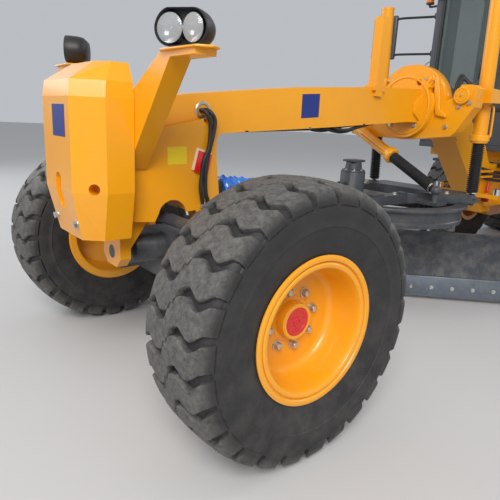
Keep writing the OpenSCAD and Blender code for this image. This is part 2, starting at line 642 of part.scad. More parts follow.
// Rear frame
rail_x0 = 230;
rail_x1 = 330;
module rear_chassis() color(YELLOW) {
  for (z = [hinge_low_tongue, hinge_top_tongue]) {
    box(-110, 110, hinge_back, 4180, z, z + lug_t);
    cyl_z(lug_r, z, z + lug_t, 0, hinge_back);
  }
  difference() {
    box(-rail_x1, rail_x1, 4150, rear_end - 250, 790, 1200);
    box(-rail_x0, rail_x0, 4220, rear_end - 350, 700, 1300);
  }
  box(-rail_x1, rail_x1, 4300, 4400, 800, 1190);
  // Brackets and pins of the articulation cylinders
  both_sides() {
    for (z = [artic_z - 64, artic_z + 24 + seat_gap])
      box(rail_x1 - 1, artic_rear[0] + 50, artic_rear[1] - 32, artic_rear[1] + 55, z, z + 40);
    cyl_z(24, artic_z - 60, artic_z + 60, artic_rear[0], artic_rear[1]);
  }
  cyl_z(hinge_pin_r, hinge_low_z, hinge_low_tongue + 20, 0, hinge_back);
  cyl_z(hinge_pin_r, hinge_top_tongue + 20, hinge_top_z, 0, hinge_back);
  // Rear axle housing and the pivots of the tandem cases
  translate([0, wheelbase, 0]) {
    cyl_x(190, -case_x0 + 31, case_x0 - 31, 0, tyre_r);
    cyl_x(120, -case_x0 - 110, case_x0 + 110, 0, tyre_r);
    box(-rail_x1, rail_x1, -180, 180, tyre_r, 900);
  }
  // Cab mounts, bumper and counterweight
  box(-700, 700, cab_back + 180, cab_back + 280, 1290, cab_floor);
  both_sides() side_profile([[cab_back + 180, 1291], [cab_back + 280, 1291], [4300, 1199], [4300, 1100], [4150, 1100]],
                            rail_x0, rail_x1);
  box(-700, 700, 5000, 5100, 1199, cab_floor);
}
module bumper() color(STEEL) difference() {
  box(-850, 850, rear_end - 249.7, rear_end, 820, 1199);
  box(-120, 120, rear_end - 120, rear_end + 10, 960, 1100);
  cyl_z(32, 800, 1300, 0, rear_end - 55);
}
module engine_block() color(GREY) box(-300, 300, 5950, 7350, 1200, 1900);
module hood() color(YELLOW) difference() {
  hull() {
    box(-520, 520, 5680, rear_end - 120, 1200, 1900);
    box(-470, 470, 5700, rear_end - 300, 1200, 2150);
  }
  box(-480, 480, 5720, rear_end - 160, 1100, 1880);
  box(-430, 430, 5760, rear_end - 330, 1100, 2110);
  both_sides() for (y = [5900 : 90 : 7700]) box(400, 700, y, y + 45, 1400, 1800);
  for (z = [1300 : 60 : 1800]) box(-400, 400, rear_end - 240, rear_end, z, z + 35);
}
module tanks() color(YELLOW) both_sides()
  box(15, 640, cab_back + cab_len + 40, 5660, 1200, 2000);
module exhaust() color(STEEL) difference() {
  union() {
    // Air intake with its round cap
    turned([-250, 6600, 2150], [-250, 6600, 2500],
           [[0, 0], [0, 62], [150, 62], [170, 118], [290, 118], [330, 70], [330, 0]]);
    cyl_z(60, 2150, 2850, 250, 6500);
    cyl_z(100, 2150, 2500, 250, 6500);
  }
  cyl_z(50, 2600, 2900, 250, 6500);
}

// Cab
cx = cab_w / 2;
cab_rear = cab_back + cab_len;
door_y0 = cab_back + 330;
door_y1 = cab_back + 1080;
sill = cab_floor + 60;
roof_low = cab_top - 150;
module cab_frame() color(GREY) {
  box(-cx, cx, cab_back, cab_rear, cab_floor, sill);
  // Front and rear walls with their windows, let in between the side walls
  difference() {
    box(-cx + wall_t + seat_gap, cx - wall_t - seat_gap, cab_back, cab_back + wall_t, sill + seat_gap, roof_low);
    box(-cx + 90, cx - 90, cab_back - 10, cab_back + wall_t + 10, 1800, roof_low - 80);
  }
  difference() {
    box(-cx + wall_t + seat_gap, cx - wall_t - seat_gap, cab_rear - wall_t, cab_rear, sill + seat_gap, roof_low);
    box(-cx + 90, cx - 90, cab_rear - wall_t - 10, cab_rear + 10, 2000, roof_low - 80);
  }
  // Side walls with the doorway and the quarter windows
  both_sides() difference() {
    box(cx - wall_t, cx, cab_back, cab_rear, sill + seat_gap, roof_low);
    box(cx - wall_t - 10, cx + 10, door_y1 + 80, cab_rear - 90, 2000, roof_low - 80);
    box(cx - wall_t - 10, cx + 10, cab_back + 90, door_y0 - 70, 1800, roof_low - 80);
    box(cx - wall_t - 10, cx + 10, door_y0, door_y1, sill, roof_low - 60);
  }
}
module cab_roof() color(GREY) difference() {
  side_profile([[cab_back - 60, roof_low], [cab_rear + 20, roof_low], [cab_rear + 20, cab_top - 50],
                [cab_rear - 60, cab_top], [cab_back + 40, cab_top], [cab_back - 60, cab_top - 25]], -cx - 20, cx + 20);
  both_sides() front_profile([[cx - 60, cab_top + 1], [cx + 30, cab_top + 1], [cx + 30, cab_top - 60]],
                             cab_back - 100, cab_rear + 100);
}
// Hinge leaves and pins of the doors
module door_hinges() color(GREY) both_sides() for (z = hinge_levels) {
  cyl_z(22, z, z + 30, hinge_x, door_y1);
  box(cx + pin_gap, hinge_x + 20, door_y1, door_y1 + 60, z, z + 30);
  cyl_z(10, z + 1, z + 79, hinge_x, door_y1);
}
module cab_glass() color(GLASS) {
  box(-cx + 90, cx - 90, cab_back + 20, cab_back + 28, 1800, roof_low - 80);
  box(-cx + 90, cx - 90, cab_rear - 28, cab_rear - 20, 2000, roof_low - 80);
  both_sides() {
    box(cx - 28, cx - 20, door_y1 + 80, cab_rear - 90, 2000, roof_low - 80);
    box(cx - 28, cx - 20, cab_back + 90, door_y0 - 70, 1800, roof_low - 80);
  }
}
hinge_x = cx + 26;
hinge_levels = [1700, 2800];
door_out = cx - 4;
// Lower and upper edge of each pane in a door
DOOR_PANES = [[1530, 1740], [1800, roof_low - 130]];
module door(s) color(GREY) on_side(s) {
  difference() {
    box(door_out - 40, door_out, door_y0 + 6, door_y1 - 6, sill + 6, roof_low - 66);
    for (z = DOOR_PANES) box(cx - 60, cx + 10, door_y0 + 70, door_y1 - 70, z[0], z[1]);
  }
  for (z = hinge_levels) difference() {
    union() {
      cyl_z(22, z + 30.5, z + 80, hinge_x, door_y1);
      box(door_out - 10, hinge_x, door_y1 - 60, door_y1 - 8, z + 30.5, z + 80);
      box(hinge_x - 12, hinge_x, door_y1 - 20, door_y1, z + 30.5, z + 80);
    }
    cyl_z(10 + pin_gap, z, z + 100, hinge_x, door_y1);
  }
}
module door_left() door(1);
module door_right() door(-1);
module door_glass(s) color(GLASS) on_side(s)
  for (z = DOOR_PANES) box(cx - 28, cx - 20, door_y0 + 70, door_y1 - 70, z[0], z[1]);
module door_glass_left() door_glass(1);
module door_glass_right() door_glass(-1);
module seat() color(BLACK) {
  box(-250, 250, 4550, 5050, 1850, 1960);
  box(-240, 240, 4960, 5080, 1955, 2500);
  box(-160, 160, 4650, 4950, sill, 1855);
}
module console() color(BLACK) {
  box(-60, 60, 4120, 4240, sill, 2100);
  bar([0, 4180, 2080], [0, 4320, 2250], 25, 0, 220);
  translate([0, 4320, 2250]) rotate([-39, 0, 0]) rotate_extrude() translate([190, 0]) circle(r = 14, $fn = 24);
  translate([0, 4320, 2250]) rotate([-39, 0, 0]) box(-185, 185, -15, 15, -10, 10);
}
module lamps() color(BLACK) {
  both_sides() {
    box(420, 600, cab_back - 130, cab_back - 60, roof_low + 15, roof_low + 115);
    box(640, 740, cab_back - 85, cab_back - seat_gap, 2960, 3080);
    box(560, 760, rear_end - 60, rear_end, 1199, 1299);
  }
}
mirror_out = 1510;
module mirrors() color(BLACK) both_sides() {
  for (z = [2400, 2790]) {
    box(cx + seat_gap, cx + 24, cab_back + 12, cab_back + 62, z - 30, z + 30);
    bar([cx + 14, cab_back + 37, z], [mirror_out - 170, cab_back - 85, z], 16, 0, 600);
  }
  box(mirror_out - 330, mirror_out, cab_back - 110, cab_back - 60, 2350, 2830);
}
module steps() color(STEEL) both_sides() {
  for (z = [600, 900, 1200]) box(560, 830, 4180, 4560, z, z + 30);
  box(560, 590, 4170, 4570, 600, 1380);
  box(rail_x1, 565, 4470, 4540, 1130, 1180);
}

// Articulation cylinders
artic_z = 990;
artic_rear = [480, 4400, artic_z];
artic_front = [320, 3560, artic_z];
artic_len = span(artic_rear, artic_front);
// Half the thickness of the rod's eye
artic_eye = 30;
module artic_barrel(s) color(YELLOW) on_side(s) {
  difference() {
    cyl_z(42, artic_z - 24, artic_z + 24, artic_rear[0], artic_rear[1]);
    cyl_z(24 + pin_gap, artic_z - 60, artic_z + 60, artic_rear[0], artic_rear[1]);
  }
  turned(artic_rear, artic_front, [[34, 0], [34, 20], [60, 45], [480, 45], [480, 25 + pin_gap], [130, 25 + pin_gap], [130, 0]]);
}
module artic_rod(s) color(SILVER) on_side(s) {
  turned(artic_rear, artic_front, [[300, 0], [300, 25], [artic_len - 10, 25], [artic_len - 10, 0]]);
  cyl_z(42, artic_z - artic_eye, artic_z + artic_eye, artic_front[0], artic_front[1]);
}
module artic_barrel_left() artic_barrel(1);
module artic_barrel_right() artic_barrel(-1);
module artic_rod_left() artic_rod(1);
module artic_rod_right() artic_rod(-1);

// Each piece is drawn in its own node
module placed() translate([0, front_axle_y, 0]) children();
placed() front_frame();
placed() nose_weight();
placed() lamp_brackets();
placed() headlamps();
placed() saddle();
placed() lock_bar();
placed() side_hoses();
placed() front_axle();
placed() lean_left();
placed() lean_right();
placed() lean_bar();
placed() lean_barrel();
placed() lean_rod();
placed() knuckle_left();
placed() knuckle_right();
placed() tie_rod();
placed() tyre_front_left();
placed() tyre_front_right();
placed() rim_front_left();
placed() rim_front_right();
placed() tandem_left();
placed() tandem_right();
placed() wheel_left_front();
placed() wheel_left_rear();
placed() wheel_right_front();
placed() wheel_right_rear();
placed() drawbar();
placed() blade_circle();
placed() blade_carrier();
placed() moldboard();
placed() cutting_edge();
placed() lift_barrel_left();
placed() lift_barrel_right();
placed() lift_rod_left();
placed() lift_rod_right();
placed() shift_barrel();
placed() shift_rod();
placed() rear_chassis();
placed() bumper();
placed() engine_block();
placed() hood();
placed() tanks();
placed() exhaust();
placed() cab_frame();
placed() cab_roof();
placed() door_hinges();
placed() cab_glass();
placed() door_left();
placed() door_right();
placed() door_glass_left();
placed() door_glass_right();
placed() seat();
placed() console();
placed() lamps();
placed() mirrors();
placed() steps();
placed() artic_barrel_left();
placed() artic_barrel_right();
placed() artic_rod_left();
placed() artic_rod_right();
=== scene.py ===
# %% [markdown]
# # Motor grader
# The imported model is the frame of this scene: it says where every piece sits and how it moves.
# This script gives the solids their finish, and adds what a solid leaves out: tread lugs, bolts,
# bellows, hoses, seals and trim. All lengths in the tables are in millimetres, counted from
# the ground point under the front axle, with forward along -Y, left along +X and up along +Z.

# %% Load the frame
import json
import math

import bmesh
import bpy
from mathutils import Matrix, Vector
from mathutils.bvhtree import BVHTree


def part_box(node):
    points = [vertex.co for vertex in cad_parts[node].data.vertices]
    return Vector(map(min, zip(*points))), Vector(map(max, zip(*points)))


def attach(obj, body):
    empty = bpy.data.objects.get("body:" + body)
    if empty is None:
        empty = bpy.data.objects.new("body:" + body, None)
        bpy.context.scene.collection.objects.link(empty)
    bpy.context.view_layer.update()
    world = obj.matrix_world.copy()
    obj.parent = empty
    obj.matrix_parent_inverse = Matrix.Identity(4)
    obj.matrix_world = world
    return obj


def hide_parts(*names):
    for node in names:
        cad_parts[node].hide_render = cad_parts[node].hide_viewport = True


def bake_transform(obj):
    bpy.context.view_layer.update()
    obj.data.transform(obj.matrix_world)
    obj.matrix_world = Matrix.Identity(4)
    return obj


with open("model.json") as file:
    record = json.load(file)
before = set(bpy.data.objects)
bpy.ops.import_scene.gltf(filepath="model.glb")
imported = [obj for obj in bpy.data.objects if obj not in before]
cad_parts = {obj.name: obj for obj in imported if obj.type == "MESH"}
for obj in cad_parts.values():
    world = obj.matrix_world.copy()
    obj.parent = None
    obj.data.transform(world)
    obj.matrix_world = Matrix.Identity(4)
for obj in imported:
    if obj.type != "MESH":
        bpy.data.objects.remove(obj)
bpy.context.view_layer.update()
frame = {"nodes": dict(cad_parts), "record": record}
nodes = frame["nodes"]

# %% [markdown]
# ## Sizes
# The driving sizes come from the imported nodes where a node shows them, and the rest are named here.

# %% Sizes read from the frame
tyre_low, tyre_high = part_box("tyre_front_left")
AXLE_Y = (tyre_low[1] + tyre_high[1]) / 2
TYRE_R = (tyre_high[2] - tyre_low[2]) * 500
TYRE_X = (tyre_low[0] + tyre_high[0]) * 500
REAR_END = (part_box("bumper")[1][1] - AXLE_Y) * 1000
print("tyre radius", round(TYRE_R), "track", round(2 * TYRE_X), "rear end", round(REAR_END))


def at(x, y, z):
    """A point of the frame, in metres, from millimetres counted from the front axle's ground point."""
    return Vector((x / 1000, y / 1000 + AXLE_Y, z / 1000))


# %% [markdown]
# ## A small modelling kit
# Every piece is drawn with bmesh operators. These helpers place them between points in millimetres.

# %% Modelling kit
SIDES = ((1, "left"), (-1, "right"))
# Edges that bend by more than this, in radians, are rounded
SHARP = 0.5


def sided(side, points):
    """The points with their distance from the middle counted towards one side."""
    return [(side * p[0], p[1], p[2]) for p in points]


def around(count, radius, turn=0.0):
    """Points spaced evenly round a circle, from an angle."""
    angles = [k * math.tau / count + turn for k in range(count)]
    return [(radius * math.cos(angle), radius * math.sin(angle)) for angle in angles]


def turn_to(direction):
    """A rotation that takes +Z to a direction."""
    return Vector(direction).to_track_quat("Z", "Y").to_matrix().to_4x4()


def soften(bm, verts, width, segments=2):
    """Bevels the sharp edges between the given vertices."""
    chosen = set(verts)
    edges = []
    for edge in bm.edges:
        if edge.verts[0] in chosen and edge.verts[1] in chosen and len(edge.link_faces) == 2:
            if edge.calc_face_angle(0) > SHARP:
                edges.append(edge)
    bmesh.ops.bevel(bm, geom=edges, offset=width / 1000, offset_type="OFFSET", segments=segments,
                    profile=0.5, affect="EDGES", clamp_overlap=True, material=-1)


def add_box(bm, low, high, width=0, segments=2):
    """A box between two corners, with its edges rounded by width."""
    a, b = at(*low), at(*high)
    place = Matrix.Translation((a + b) / 2) @ Matrix.Diagonal((b - a).to_4d())
    place[3][3] = 1
    made = bmesh.ops.create_cube(bm, size=1, matrix=place)["verts"]
    if width:
        soften(bm, made, width, segments)


def add_bar(bm, start, end, r0, r1=None, steps=20, width=0):
    """A round bar or cone from start to end."""
    a, b = at(*start), at(*end)
    place = Matrix.Translation((a + b) / 2) @ turn_to(b - a)
    made = bmesh.ops.create_cone(bm, cap_ends=True, cap_tris=False, segments=steps, radius1=r0 / 1000,
                                 radius2=(r0 if r1 is None else r1) / 1000, depth=(b - a).length,
                                 matrix=place)["verts"]
    if width:
        soften(bm, made, width)


def add_turned(bm, start, toward, rows, steps=48, closed=False):
    """A lathe shape: rows of (distance along the axis, radius), spun round the line from start."""
    origin = at(*start)
    axis = (at(*toward) - origin).normalized()
    side = turn_to(axis) @ Vector((1, 0, 0))
    ring = [bm.verts.new(origin + axis * (d / 1000) + side * (r / 1000)) for d, r in rows]
    links = [bm.edges.new(pair) for pair in zip(ring, ring[1:])]
    if closed:
        links.append(bm.edges.new((ring[-1], ring[0])))
    bmesh.ops.spin(bm, geom=ring + links, cent=origin, axis=axis, dvec=(0, 0, 0), angle=math.tau,
                   steps=steps, use_merge=True, use_normal_flip=False, use_duplicate=False)


def add_prism(bm, outline, shift, width=0, segments=2):
    """A flat outline of points pushed along a shift in millimetres."""
    corners = [bm.verts.new(at(*p)) for p in outline]
    face = bm.faces.new(corners)
    made = bmesh.ops.extrude_face_region(bm, geom=[face])["geom"]
    moved = [g for g in made if isinstance(g, bmesh.types.BMVert)]
    bmesh.ops.translate(bm, vec=Vector(shift) / 1000, verts=moved)
    if width:
        soften(bm, corners + moved, width, segments)


def skin(bm, rings, caps=True):
    """Joins rings of vertices into a skin and closes its two ends."""
    count = len(rings[0])
    for one, two in zip(rings, rings[1:]):
        for k in range(count):
            bm.faces.new((one[k], one[(k + 1) % count], two[(k + 1) % count], two[k]))
    if caps:
        bm.faces.new(rings[0][::-1])
        bm.faces.new(rings[-1])


def smooth_path(points, steps=6):
    """Points on a smooth curve through the given points."""
    p = [Vector(q) for q in points]
    p = [p[0] * 2 - p[1]] + p + [p[-1] * 2 - p[-2]]
    path = []
    for i in range(1, len(p) - 2):
        a, b, c, d = p[i - 1], p[i], p[i + 1], p[i + 2]
        for k in range(steps):
            t = k / steps
            path.append((b * 2 + (c - a) * t + (a * 2 - b * 5 + c * 4 - d) * t ** 2
                         + (b * 3 - a - c * 3 + d) * t ** 3) / 2)
    path.append(p[-2])
    return path


def add_tube(bm, points, radius, sides=12, steps=6):
    """A tube along a smooth path: a hose, pipe or rail."""
    path = smooth_path(points, steps)
    rings = []
    up = Vector((0.31, 0.17, 0.93))
    for i, q in enumerate(path):
        ahead = (path[min(i + 1, len(path) - 1)] - path[max(i - 1, 0)]).normalized()
        x = (up - ahead * up.dot(ahead)).normalized()
        up = x
        y = ahead.cross(x)
        ring = []
        for k in range(sides):
            a = k * math.tau / sides
            ring.append(bm.verts.new(at(*(q + (x * math.cos(a) + y * math.sin(a)) * radius))))
        rings.append(ring)
    skin(bm, rings)


def add_bolt(bm, foot, direction, size=22):
    """A hex bolt head on its washer. size is the washer's radius in millimetres."""
    n = Vector(direction).normalized()
    place = at(*foot)
    for r, low, high, sides in ((size, -1, size * 0.18, 20), (size * 0.78, size * 0.18, size * 0.85, 6)):
        mid = place + n * ((low + high) / 2000)
        bmesh.ops.create_cone(bm, cap_ends=True, cap_tris=False, segments=sides, radius1=r / 1000,
                              radius2=r * 0.96 / 1000, depth=(high - low) / 1000,
                              matrix=Matrix.Translation(mid) @ turn_to(n))


def to_mesh(bm, name, material, flat=32):
    """Turns a bmesh into a mesh with its finish, smooth except across edges sharper than flat degrees."""
    bmesh.ops.recalc_face_normals(bm, faces=bm.faces[:])
    mesh = bpy.data.meshes.new(name)
    bm.to_mesh(mesh)
    bm.free()
    mesh.polygons.foreach_set("use_smooth", [True] * len(mesh.polygons))
    mesh.set_sharp_from_angle(angle=math.radians(flat))
    mesh.materials.append(material)
    return mesh


def place_piece(mesh, name, body, node=()):
    """A piece that rides on a body, or, given two, stays fixed where it is without riding on either, and
    stands for a node where one is named.
    """
    piece = bpy.data.objects.new(name, mesh)
    bpy.context.scene.collection.objects.link(piece)
    if isinstance(body, str):
        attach(piece, body)
    else:
        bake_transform(piece)
    if node:
        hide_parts(*node)
    return piece


def finish_shape(bm, name, body, material, flat=32, node=()):
    """Turns a bmesh into a finished piece."""
    return place_piece(to_mesh(bm, name, material, flat), name, body, node)


print("kit ready")

# %% [markdown]
# ## Materials
# Three node groups carry what the finishes share: broad colour variation, a film of dust that
# lies in patches and gathers low down, and a fine bump. Each material feeds them to one shader.

# %% Shared effects
def new_group(name, inputs, outputs):
    """A node group with its sockets: name and default of each input, name and kind of each output."""
    group = bpy.data.node_groups.new(name, "ShaderNodeTree")
    for label, value in inputs:
        kind = "NodeSocketColor" if value is None else "NodeSocketFloat"
        socket = group.interface.new_socket(name=label, in_out="INPUT", socket_type=kind)
        if value is not None:
            socket.default_value = value
    for label, kind in outputs:
        group.interface.new_socket(name=label, in_out="OUTPUT", socket_type="NodeSocket" + kind)
    return group, group.nodes.new("NodeGroupInput").outputs, group.nodes.new("NodeGroupOutput").inputs


def add_node(tree, kind, **values):
    """A node with its plain properties and its inputs set by name or number."""
    node = tree.nodes.new("ShaderNode" + kind)
    for key, value in values.items():
        if key.startswith("in_"):
            node.inputs[int(key[3:])].default_value = value
        else:
            setattr(node, key, value)
    return node


def link(tree, *pairs):
    """Leads each output to its input."""
    for output, target in pairs:
        tree.links.new(output, target)


def add_noise(tree, **values):
    """A noise texture over the object's own coordinates."""
    place = add_node(tree, "TexCoord")
    noise = add_node(tree, "TexNoise", **values)
    link(tree, (place.outputs["Object"], noise.inputs["Vector"]))
    return noise


def mottle_group():
    """Colour that drifts between two tones, with darker grime in patches."""
    group, source, result = new_group("Mottle", [("Colour", None), ("Second", None), ("Scale", 1.5),
                                                 ("Amount", 0.5)], [("Colour", "Color"), ("Mask", "Float")])
    noise = add_noise(group, in_3=6.0, in_4=0.6)
    ramp = add_node(group, "MapRange", in_1=0.35, in_2=0.7)
    share = add_node(group, "Math", operation="MULTIPLY")
    mix = add_node(group, "Mix", data_type="RGBA")
    link(group, (source["Scale"], noise.inputs["Scale"]), (noise.outputs[0], ramp.inputs[0]),
         (ramp.outputs[0], share.inputs[0]), (source["Amount"], share.inputs[1]),
         (share.outputs[0], mix.inputs[0]), (source["Colour"], mix.inputs[6]),
         (source["Second"], mix.inputs[7]), (mix.outputs[2], result["Colour"]),
         (ramp.outputs[0], result["Mask"]))
    return group


def dust_group():
    """Dust laid over a colour: more near the ground, in patches."""
    group, source, result = new_group("Dust", [("Colour", None), ("Dust", None), ("Amount", 0.3)],
                                      [("Colour", "Color"), ("Mask", "Float")])
    place = add_node(group, "TexCoord")
    split = add_node(group, "SeparateXYZ")
    low = add_node(group, "MapRange", in_1=1.3, in_2=0.1, in_3=0.15, in_4=1.0)
    noise = add_noise(group, in_2=9.0, in_3=8.0, in_4=0.7)
    patch = add_node(group, "MapRange", in_1=0.4, in_2=0.68)
    both = add_node(group, "Math", operation="MULTIPLY")
    share = add_node(group, "Math", operation="MULTIPLY", use_clamp=True)
    mix = add_node(group, "Mix", data_type="RGBA")
    link(group, (place.outputs["Object"], split.inputs[0]), (split.outputs["Z"], low.inputs[0]),
         (noise.outputs[0], patch.inputs[0]), (low.outputs[0], both.inputs[0]),
         (patch.outputs[0], both.inputs[1]), (both.outputs[0], share.inputs[0]),
         (source["Amount"], share.inputs[1]), (share.outputs[0], mix.inputs[0]),
         (source["Colour"], mix.inputs[6]), (source["Dust"], mix.inputs[7]),
         (mix.outputs[2], result["Colour"]), (share.outputs[0], result["Mask"]))
    return group


def grain_group():
    """A fine bump with its height, from noise at a given scale."""
    group, source, result = new_group("Grain", [("Scale", 60.0), ("Strength", 0.1)], [("Normal", "Vector")])
    noise = add_noise(group, in_3=4.0, in_4=0.55)
    bump = add_node(group, "Bump", in_1=0.004)
    link(group, (source["Scale"], noise.inputs["Scale"]), (noise.outputs[0], bump.inputs["Height"]),
         (source["Strength"], bump.inputs["Strength"]), (bump.outputs[0], result["Normal"]))
    return group


MOTTLE = mottle_group()
DUST = dust_group()
GRAIN = grain_group()
DUST_TONE = (0.42, 0.38, 0.33, 1)
print("node groups", [g.name for g in bpy.data.node_groups])


def finish(name, colour, second, rough=(0.35, 0.5), metallic=0.0, dust=0.2, grain=(60, 0.1), coat=0.0,
           scale=1.5, amount=0.5, alpha=1.0, wear=None, wear_tone=None):
    """A material: mottled colour, dust, a roughness that follows the mottle, and a fine bump.

    wear names a mesh attribute that lays wear_tone over the colour."""
    material = bpy.data.materials.new(name)
    material.use_nodes = True
    tree = material.node_tree
    shader = tree.nodes["Principled BSDF"]
    mottle = add_node(tree, "Group", node_tree=MOTTLE)
    for socket, value in (("Colour", (*colour, 1)), ("Second", (*second, 1)), ("Scale", scale),
                          ("Amount", amount)):
        mottle.inputs[socket].default_value = value
    last = mottle.outputs["Colour"]
    if wear:
        worn = add_node(tree, "Attribute", attribute_name=wear)
        speck = add_noise(tree, in_2=38.0, in_3=8.0, in_4=0.7)
        spread = add_node(tree, "MapRange", in_1=0.25, in_2=0.62)
        share = add_node(tree, "Math", operation="MULTIPLY")
        over = add_node(tree, "Mix", data_type="RGBA", in_7=(*wear_tone, 1))
        link(tree, (speck.outputs[0], spread.inputs[0]), (spread.outputs[0], share.inputs[0]),
             (worn.outputs["Fac"], share.inputs[1]), (share.outputs[0], over.inputs[0]),
             (last, over.inputs[6]))
        last = over.outputs[2]
    dusty = add_node(tree, "Group", node_tree=DUST)
    dusty.inputs["Dust"].default_value = DUST_TONE
    dusty.inputs["Amount"].default_value = dust
    rougher = add_node(tree, "MapRange", in_3=rough[0], in_4=rough[1])
    fine = add_node(tree, "Group", node_tree=GRAIN)
    fine.inputs["Scale"].default_value, fine.inputs["Strength"].default_value = grain
    link(tree, (last, dusty.inputs["Colour"]), (dusty.outputs["Colour"], shader.inputs["Base Color"]),
         (mottle.outputs["Mask"], rougher.inputs[0]), (rougher.outputs[0], shader.inputs["Roughness"]),
         (fine.outputs["Normal"], shader.inputs["Normal"]))
    for socket, value in (("Metallic", metallic), ("Coat Weight", coat), ("Coat Roughness", 0.12),
                          ("Alpha", alpha)):
        shader.inputs[socket].default_value = value
    return material


yellow = finish("yellow_paint", (0.88, 0.37, 0.003), (0.80, 0.31, 0.003), (0.28, 0.42), dust=0.10,
                grain=(220, 0.05), coat=0.35, amount=0.6)
charcoal = finish("charcoal_paint", (0.036, 0.042, 0.052), (0.055, 0.062, 0.073), (0.38, 0.55), dust=0.28,
                  grain=(180, 0.08), coat=0.1)
cab_paint = finish("cab_grey_paint", (0.05, 0.056, 0.066), (0.062, 0.069, 0.08), (0.35, 0.5), dust=0.1,
                   grain=(200, 0.05), coat=0.15)
bright = finish("bright_steel", (0.74, 0.75, 0.77), (0.62, 0.63, 0.65), (0.12, 0.28), metallic=1.0,
                dust=0.06, grain=(300, 0.04), scale=6)
zinc = finish("zinc_bolts", (0.62, 0.62, 0.60), (0.45, 0.45, 0.43), (0.25, 0.45), metallic=0.9, dust=0.2,
              grain=(200, 0.1), scale=12)
edge_steel = finish("edge_steel", (0.16, 0.19, 0.23), (0.10, 0.12, 0.15), (0.32, 0.5), metallic=0.6,
                    dust=0.25, grain=(90, 0.2), scale=4)
rubber = finish("tyre_rubber", (0.016, 0.016, 0.017), (0.024, 0.024, 0.025), (0.55, 0.75), dust=0.09,
                grain=(120, 0.35), scale=5, wear="worn", wear_tone=(0.125, 0.12, 0.112))
hose = finish("hose_rubber", (0.016, 0.016, 0.017), (0.028, 0.028, 0.028), (0.4, 0.55), dust=0.1,
              grain=(250, 0.2), scale=10)
plastic = finish("black_plastic", (0.014, 0.014, 0.015), (0.022, 0.022, 0.023), (0.35, 0.5), dust=0.08,
                 grain=(400, 0.25), scale=6)
red = finish("red_paint", (0.62, 0.012, 0.012), (0.5, 0.01, 0.01), (0.3, 0.42), dust=0.08,
             grain=(220, 0.05), coat=0.3, scale=4)
blue = finish("blue_panel", (0.012, 0.028, 0.20), (0.016, 0.036, 0.235), (0.35, 0.45), dust=0.04,
              grain=(220, 0.03), scale=3)
cream = finish("cream_trim", (0.82, 0.74, 0.52), (0.76, 0.68, 0.47), (0.4, 0.5), dust=0.05, grain=(200, 0.03))
amber = finish("amber_lens", (0.95, 0.22, 0.01), (0.9, 0.18, 0.01), (0.12, 0.2), dust=0.02, grain=(90, 0.1),
               coat=0.6)
engine_paint = finish("engine_grey", (0.14, 0.145, 0.15), (0.18, 0.185, 0.19), (0.45, 0.6), dust=0.2,
                      grain=(80, 0.3))
cloth = finish("seat_cover", (0.022, 0.022, 0.024), (0.034, 0.034, 0.036), (0.75, 0.9), dust=0.05,
               grain=(500, 0.5), scale=8)
glass = finish("cab_glass", (0.10, 0.135, 0.135), (0.12, 0.155, 0.155), (0.02, 0.04), dust=0.03,
               grain=(3, 0.01), coat=0.5, alpha=0.42)
lens = finish("clear_lens", (0.42, 0.44, 0.46), (0.55, 0.57, 0.58), (0.03, 0.06), dust=0.0,
              grain=(140, 0.25), coat=1.0, alpha=0.45)
mirror_glass = finish("mirror_glass", (0.85, 0.86, 0.88), (0.8, 0.81, 0.83), (0.02, 0.04), metallic=1.0,
                      dust=0.03, grain=(4, 0.01))
film = finish("blue_film", (0.015, 0.13, 0.62), (0.05, 0.26, 0.80), (0.18, 0.35), dust=0.05,
              grain=(28, 0.9), coat=0.5, scale=9, amount=0.9)
sign_yellow = finish("sign_yellow", (0.85, 0.62, 0.01), (0.78, 0.55, 0.01), (0.4, 0.5), dust=0.05,
                     grain=(220, 0.03))
reflector = finish("red_reflector", (0.75, 0.012, 0.01), (0.65, 0.01, 0.01), (0.1, 0.2), dust=0.05,
                   grain=(260, 0.35), coat=0.8)
SLOT_FINISH = {
    "yellow_paint": yellow, "charcoal_paint": charcoal, "bright_steel": bright, "edge_steel": edge_steel,
    "tyre_rubber": rubber, "hose_rubber": hose, "black_plastic": plastic, "red_paint": red,
    "engine_grey": engine_paint, "cab_grey": cab_paint, "cab_glass": glass, "seat_cover": cloth,
}
for part in frame["record"]["subparts"]:
    mesh = nodes[part["node"]].data
    mesh.materials.clear()
    mesh.materials.append(SLOT_FINISH[part["material_slot"]])
print("finishes", len(bpy.data.materials))

# %% [markdown]
# ## Softer edges on the solids
# Folded and cut steel has a small radius on every edge. The solids that stay in view get it by
# modifiers, which leave their own vertices alone.

# %% Edge radii
# Solid and the radius of its edges in millimetres
EDGES = {"front_frame": 5, "lamp_brackets": 3, "saddle": 6, "front_axle": 8, "lean_left": 5,
         "lean_right": 5, "tandem_left": 12, "tandem_right": 12, "drawbar": 5, "blade_circle": 4,
         "blade_carrier": 5, "moldboard": 3, "cutting_edge": 3, "rear_chassis": 6, "bumper": 14,
         "tanks": 14, "cab_frame": 5, "cab_roof": 12, "steps": 4, "door_left": 8, "door_right": 8,
         "lock_bar": 4, "knuckle_left": 5, "knuckle_right": 5}


def soften_solid(name, radius, segments=2, angle=40, harden=True):
    """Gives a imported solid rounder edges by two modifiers."""
    nodes[name].modifiers.new("weld", "WELD").merge_threshold = 0.00005
    bevel = nodes[name].modifiers.new("edges", "BEVEL")
    bevel.width = radius / 1000
    bevel.segments = segments
    bevel.limit_method = "ANGLE"
    bevel.angle_limit = math.radians(angle)
    bevel.harden_normals = harden


for name, radius in EDGES.items():
    soften_solid(name, radius)
print("edges softened on", len(EDGES), "solids")

# %% [markdown]
# ## Wheels
# One wheel is modelled at the front axle's centre, then copied to all six hubs. The casing is a lathe
# shape with a recessed shoulder, and each lug is a short loft that steps at the centre, slants across
# the tread and wraps over the shoulder. A spin copies it round the tyre.

# %% Tread lug table
LUGS = 26
PITCH = math.tau * TYRE_R / LUGS
